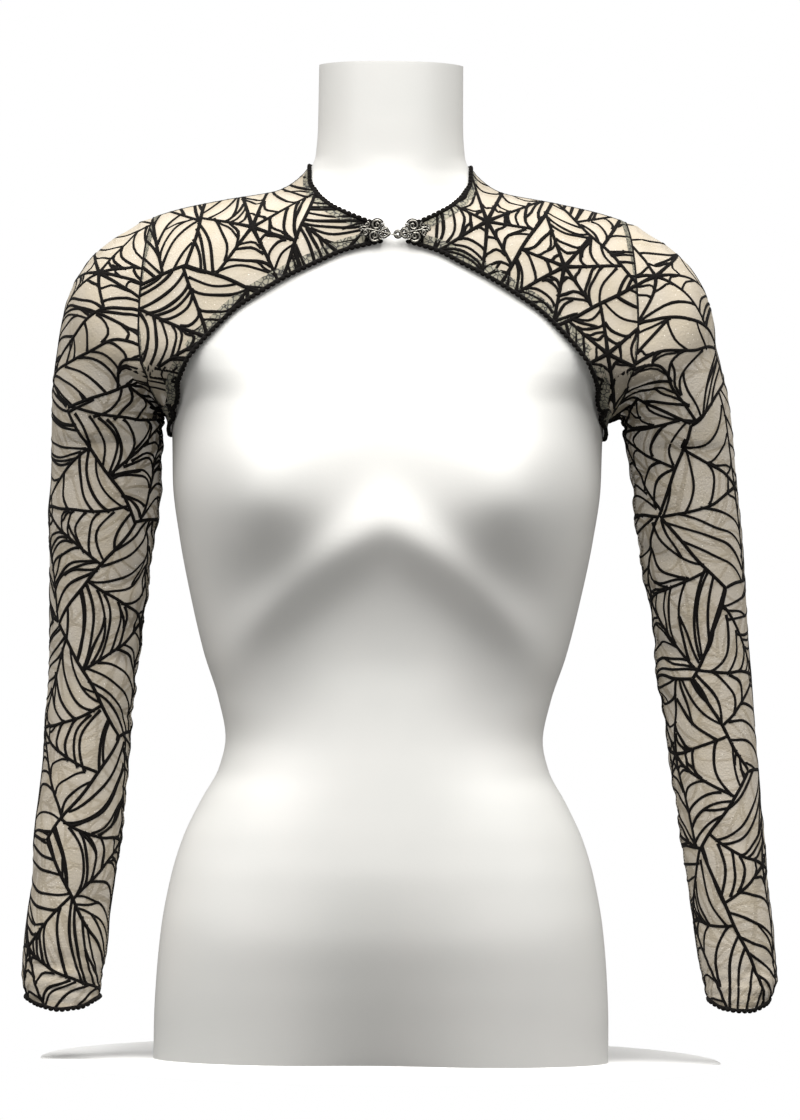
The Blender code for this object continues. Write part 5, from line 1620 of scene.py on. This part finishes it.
class BOLERO_OT_seams(bpy.types.Operator):
    """Lays the seam allowances on the net, and the stitches and cords over the seams"""

    bl_idname = "bolero.seams"
    bl_label = "Seams"

    def execute(self, context):
        tree, cord_tree = stitch_tree(), strand_tree()
        stitches = {"Pitch": STITCH_PITCH, "Thread": STITCH_THREAD, "Material": finish_of("thread")}
        cords = {"Flatness": 0.6, "Sides": 6, "Material": finish_of("thread")}
        for arm in ("right", "left"):
            sleeve, sleeve_out = cloth()["sleeve_" + arm]
            front, front_out = cloth()["front_" + arm]
            # armhole: a ring round the sleeve's first row
            hole, hole_out = sleeve[0], sleeve_out[0]
            ring = [np.vstack([a, a[:1]]) for a in (hole, hole_out, -unit(sleeve[3] - hole))]
            strip("armhole_allowance_" + arm, ring, *ARMHOLE_BAND, ON_NET, "allowance")
            ridge, ridge_out = front[NECKLINE_STEPS:, 0], front_out[NECKLINE_STEPS:, 0]
            # the side seam goes on as the seam along the sleeve's inner side
            side, side_out = front[-1, ARMHOLE_STEPS:], front_out[-1, ARMHOLE_STEPS:]
            seam = ARMHOLE_STEPS - SEAM_TURN
            long, long_out = sleeve[:, seam], sleeve_out[:, seam]
            beside = unit(sleeve[:, seam + 1] - long)
            strip("sleeve_allowance_" + arm, (long, long_out, beside), *SEAM_BAND, UNDER_NET, "allowance")
            paths = [
                (hole + hole_out * STITCH_LIFT, hole_out, np.ones(len(hole)), True),
                (ridge, ridge_out, np.ones(len(ridge)), False),
                (side + side_out * ON_NET, side_out, np.ones(len(side)), False),
                (long + long_out * ON_NET, long_out, np.ones(len(long)), False),
            ]
            cord = [
                (hole + hole_out * CORD_LIFT, hole_out, np.full(len(hole), ARMHOLE_CORD), True),
                (ridge, ridge_out, np.full(len(ridge), SHOULDER_CORD), False),
            ]
            mesh = grown("stitches_" + arm, paths, tree, stitches)
            mesh = joined(mesh, grown("cord", cord, cord_tree, cords), "thread")
            put("stitches_" + arm, mesh, "edging_black")
        return {"FINISHED"}


def scroll(centre, size, turns, first, spin, radius):
    """A spiral wire that thickens outwards: its points across and up, and its radius."""
    t = np.linspace(0, 1, 40)
    angle = first + spin * turns * 2 * math.pi * t
    reach = size * (0.16 + 0.84 * t**0.8)
    line = np.stack([centre[0] + reach * np.cos(angle), centre[1] + reach * np.sin(angle)], axis=1)
    return line, radius * (0.75 + 0.35 * t), False


def clasp_wires(look, has_eye):
    """The wires of a clasp half, from the middle of the clasp outwards."""
    wires = []
    for up in (1, -1):
        for across, rise, size, turns, first, spin, share in SCROLLS:
            size, radius = look.scroll * size, look.wire * share
            wires.append(scroll((across, up * rise), size, turns, up * first, up * spin, radius))
    start, end, rise = LEAF
    t = np.linspace(0, 1, 16)
    for up in (1, -1):
        leaf = np.stack([start + (end - start) * t, up * rise * np.sin(t * math.pi)], axis=1)
        wires.append((leaf, look.wire * (1.2 - 0.7 * t), False))
    diamond = spaced(DIAMOND + DIAMOND[:1], np.linspace(0, 1, 25))[:-1]
    wires.append((diamond, look.wire * 0.85, True))
    wires.append((np.array(LONG_BAR), look.wire * 0.8, False))
    wires.append((np.array(CROSS_BAR), look.wire * 0.55, False))
    if has_eye:
        turn = np.linspace(0, 2 * math.pi, 25)[:-1]
        middle, radius = EYE
        eye = np.stack([middle + radius * np.cos(turn), radius * np.sin(turn)], axis=1)
        wires.append((eye, look.wire * 0.85, True))
    return wires


def hook_path(radius):
    """The hook's wire: a straight shank, then a bend that comes back over it."""
    t = np.linspace(0, 1, 26)
    shank, back = t < HOOK_SHANK, (t - HOOK_SHANK) / (1 - HOOK_SHANK) * math.pi
    start, end = HOOK_FROM, HOOK_TO
    x = np.where(shank, start + t / HOOK_SHANK * (end - start), end + HOOK_BEND * np.sin(back))
    y = np.where(shank, -HOOK_DEEP * t / HOOK_SHANK, -HOOK_DEEP * np.cos(back))
    line = np.stack([x, y, np.zeros_like(x)], axis=1)
    return line, np.tile([0.0, 0.0, 1.0], (len(t), 1)), np.full(len(t), radius), False


class BOLERO_OT_clasp(bpy.types.Operator):
    """Makes the two filigree halves of the hook-and-eye clasp"""

    bl_idname = "bolero.clasp"
    bl_label = "Clasp"

    def execute(self, context):
        look = context.scene.bolero_clasp
        tree = strand_tree()
        silver = {"Flatness": 1.0, "Sides": 8, "Material": finish_of("silver")}
        oxide = {"Flatness": 0.5, "Sides": 8, "Material": finish_of("oxide")}
        for side, name in ((1, "clasp_left"), (-1, "clasp_right")):
            low, high = (np.array(c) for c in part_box(name))
            centre = (CENTRE_SHIFT, (low[1] + high[1]) / 2, (low[2] + high[2]) / 2 - CLASP_DROP)
            place = Matrix.Translation(centre) @ Matrix.Rotation(-side * look.tilt, 4, "Y")
            paths = []
            for flat, radius, ring in clasp_wires(look, side > 0):
                line = np.stack([side * flat[:, 0], np.zeros(len(flat)), flat[:, 1]], axis=1)
                ahead = np.tile([0.0, -1.0, 0.0], (len(flat), 1))
                paths.append((line, ahead, np.broadcast_to(radius, len(flat)), ring))
            mesh = grown(name + "_filigree", paths, tree, silver)
            if side < 0:
                mesh = joined(mesh, grown("hook", [hook_path(look.wire * 0.8)], tree, silver), "silver")
            mesh.transform(place)
            put(name + "_filigree", mesh, "clasp_silver", name)
            # the cast ground behind the scrolls, which shows as a dark outline round each
            back = [0, GROUND_BACK, 0]
            ground = [(line + back, out, wide * GROUND_WIDTH, ring) for line, out, wide, ring in paths]
            dark = grown(name + "_ground", ground, tree, oxide)
            dark.transform(place)
            put(name + "_ground", dark, "clasp_silver")
        return {"FINISHED"}


class BOLERO_PT_panel(bpy.types.Panel):
    """Lists the settings and the steps"""

    bl_idname = "BOLERO_PT_panel"
    bl_label = "Web net bolero"
    bl_space_type = "VIEW_3D"
    bl_region_type = "UI"
    bl_category = "Bolero"

    def draw(self, context):
        for key, (group, step) in STEPS.items():
            box = self.layout.box()
            if group:
                settings = getattr(context.scene, key)
                for label in group.__annotations__:
                    box.prop(settings, label)
            box.operator(step.bl_idname)


STEPS = {
    "bolero_stage": (BoleroStage, BOLERO_OT_stage),
    "bolero_form": (BoleroForm, BOLERO_OT_form),
    "bolero_net": (BoleroNet, BOLERO_OT_cloth),
    "bolero_web": (BoleroWeb, BOLERO_OT_web),
    "bolero_edge": (BoleroEdge, BOLERO_OT_edging),
    "bolero_seams": (None, BOLERO_OT_seams),
    "bolero_clasp": (BoleroClasp, BOLERO_OT_clasp),
}


def register():
    """Adds the settings, the steps and the panel."""
    for key, (group, step) in STEPS.items():
        if group:
            bpy.utils.register_class(group)
            setattr(bpy.types.Scene, key, PointerProperty(type=group))
        bpy.utils.register_class(step)
    bpy.utils.register_class(BOLERO_PT_panel)


def unregister():
    """Takes the panel, the steps and the settings away again."""
    bpy.utils.unregister_class(BOLERO_PT_panel)
    for key, (group, step) in reversed(STEPS.items()):
        bpy.utils.unregister_class(step)
        if group:
            delattr(bpy.types.Scene, key)
            bpy.utils.unregister_class(group)


def main():
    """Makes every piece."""
    register()
    bpy.ops.bolero.stage()
    bpy.ops.bolero.form()
    bpy.ops.bolero.cloth()
    bpy.ops.bolero.web()
    bpy.ops.bolero.edging()
    bpy.ops.bolero.seams()
    bpy.ops.bolero.clasp()


if __name__ == "__main__":
    main()
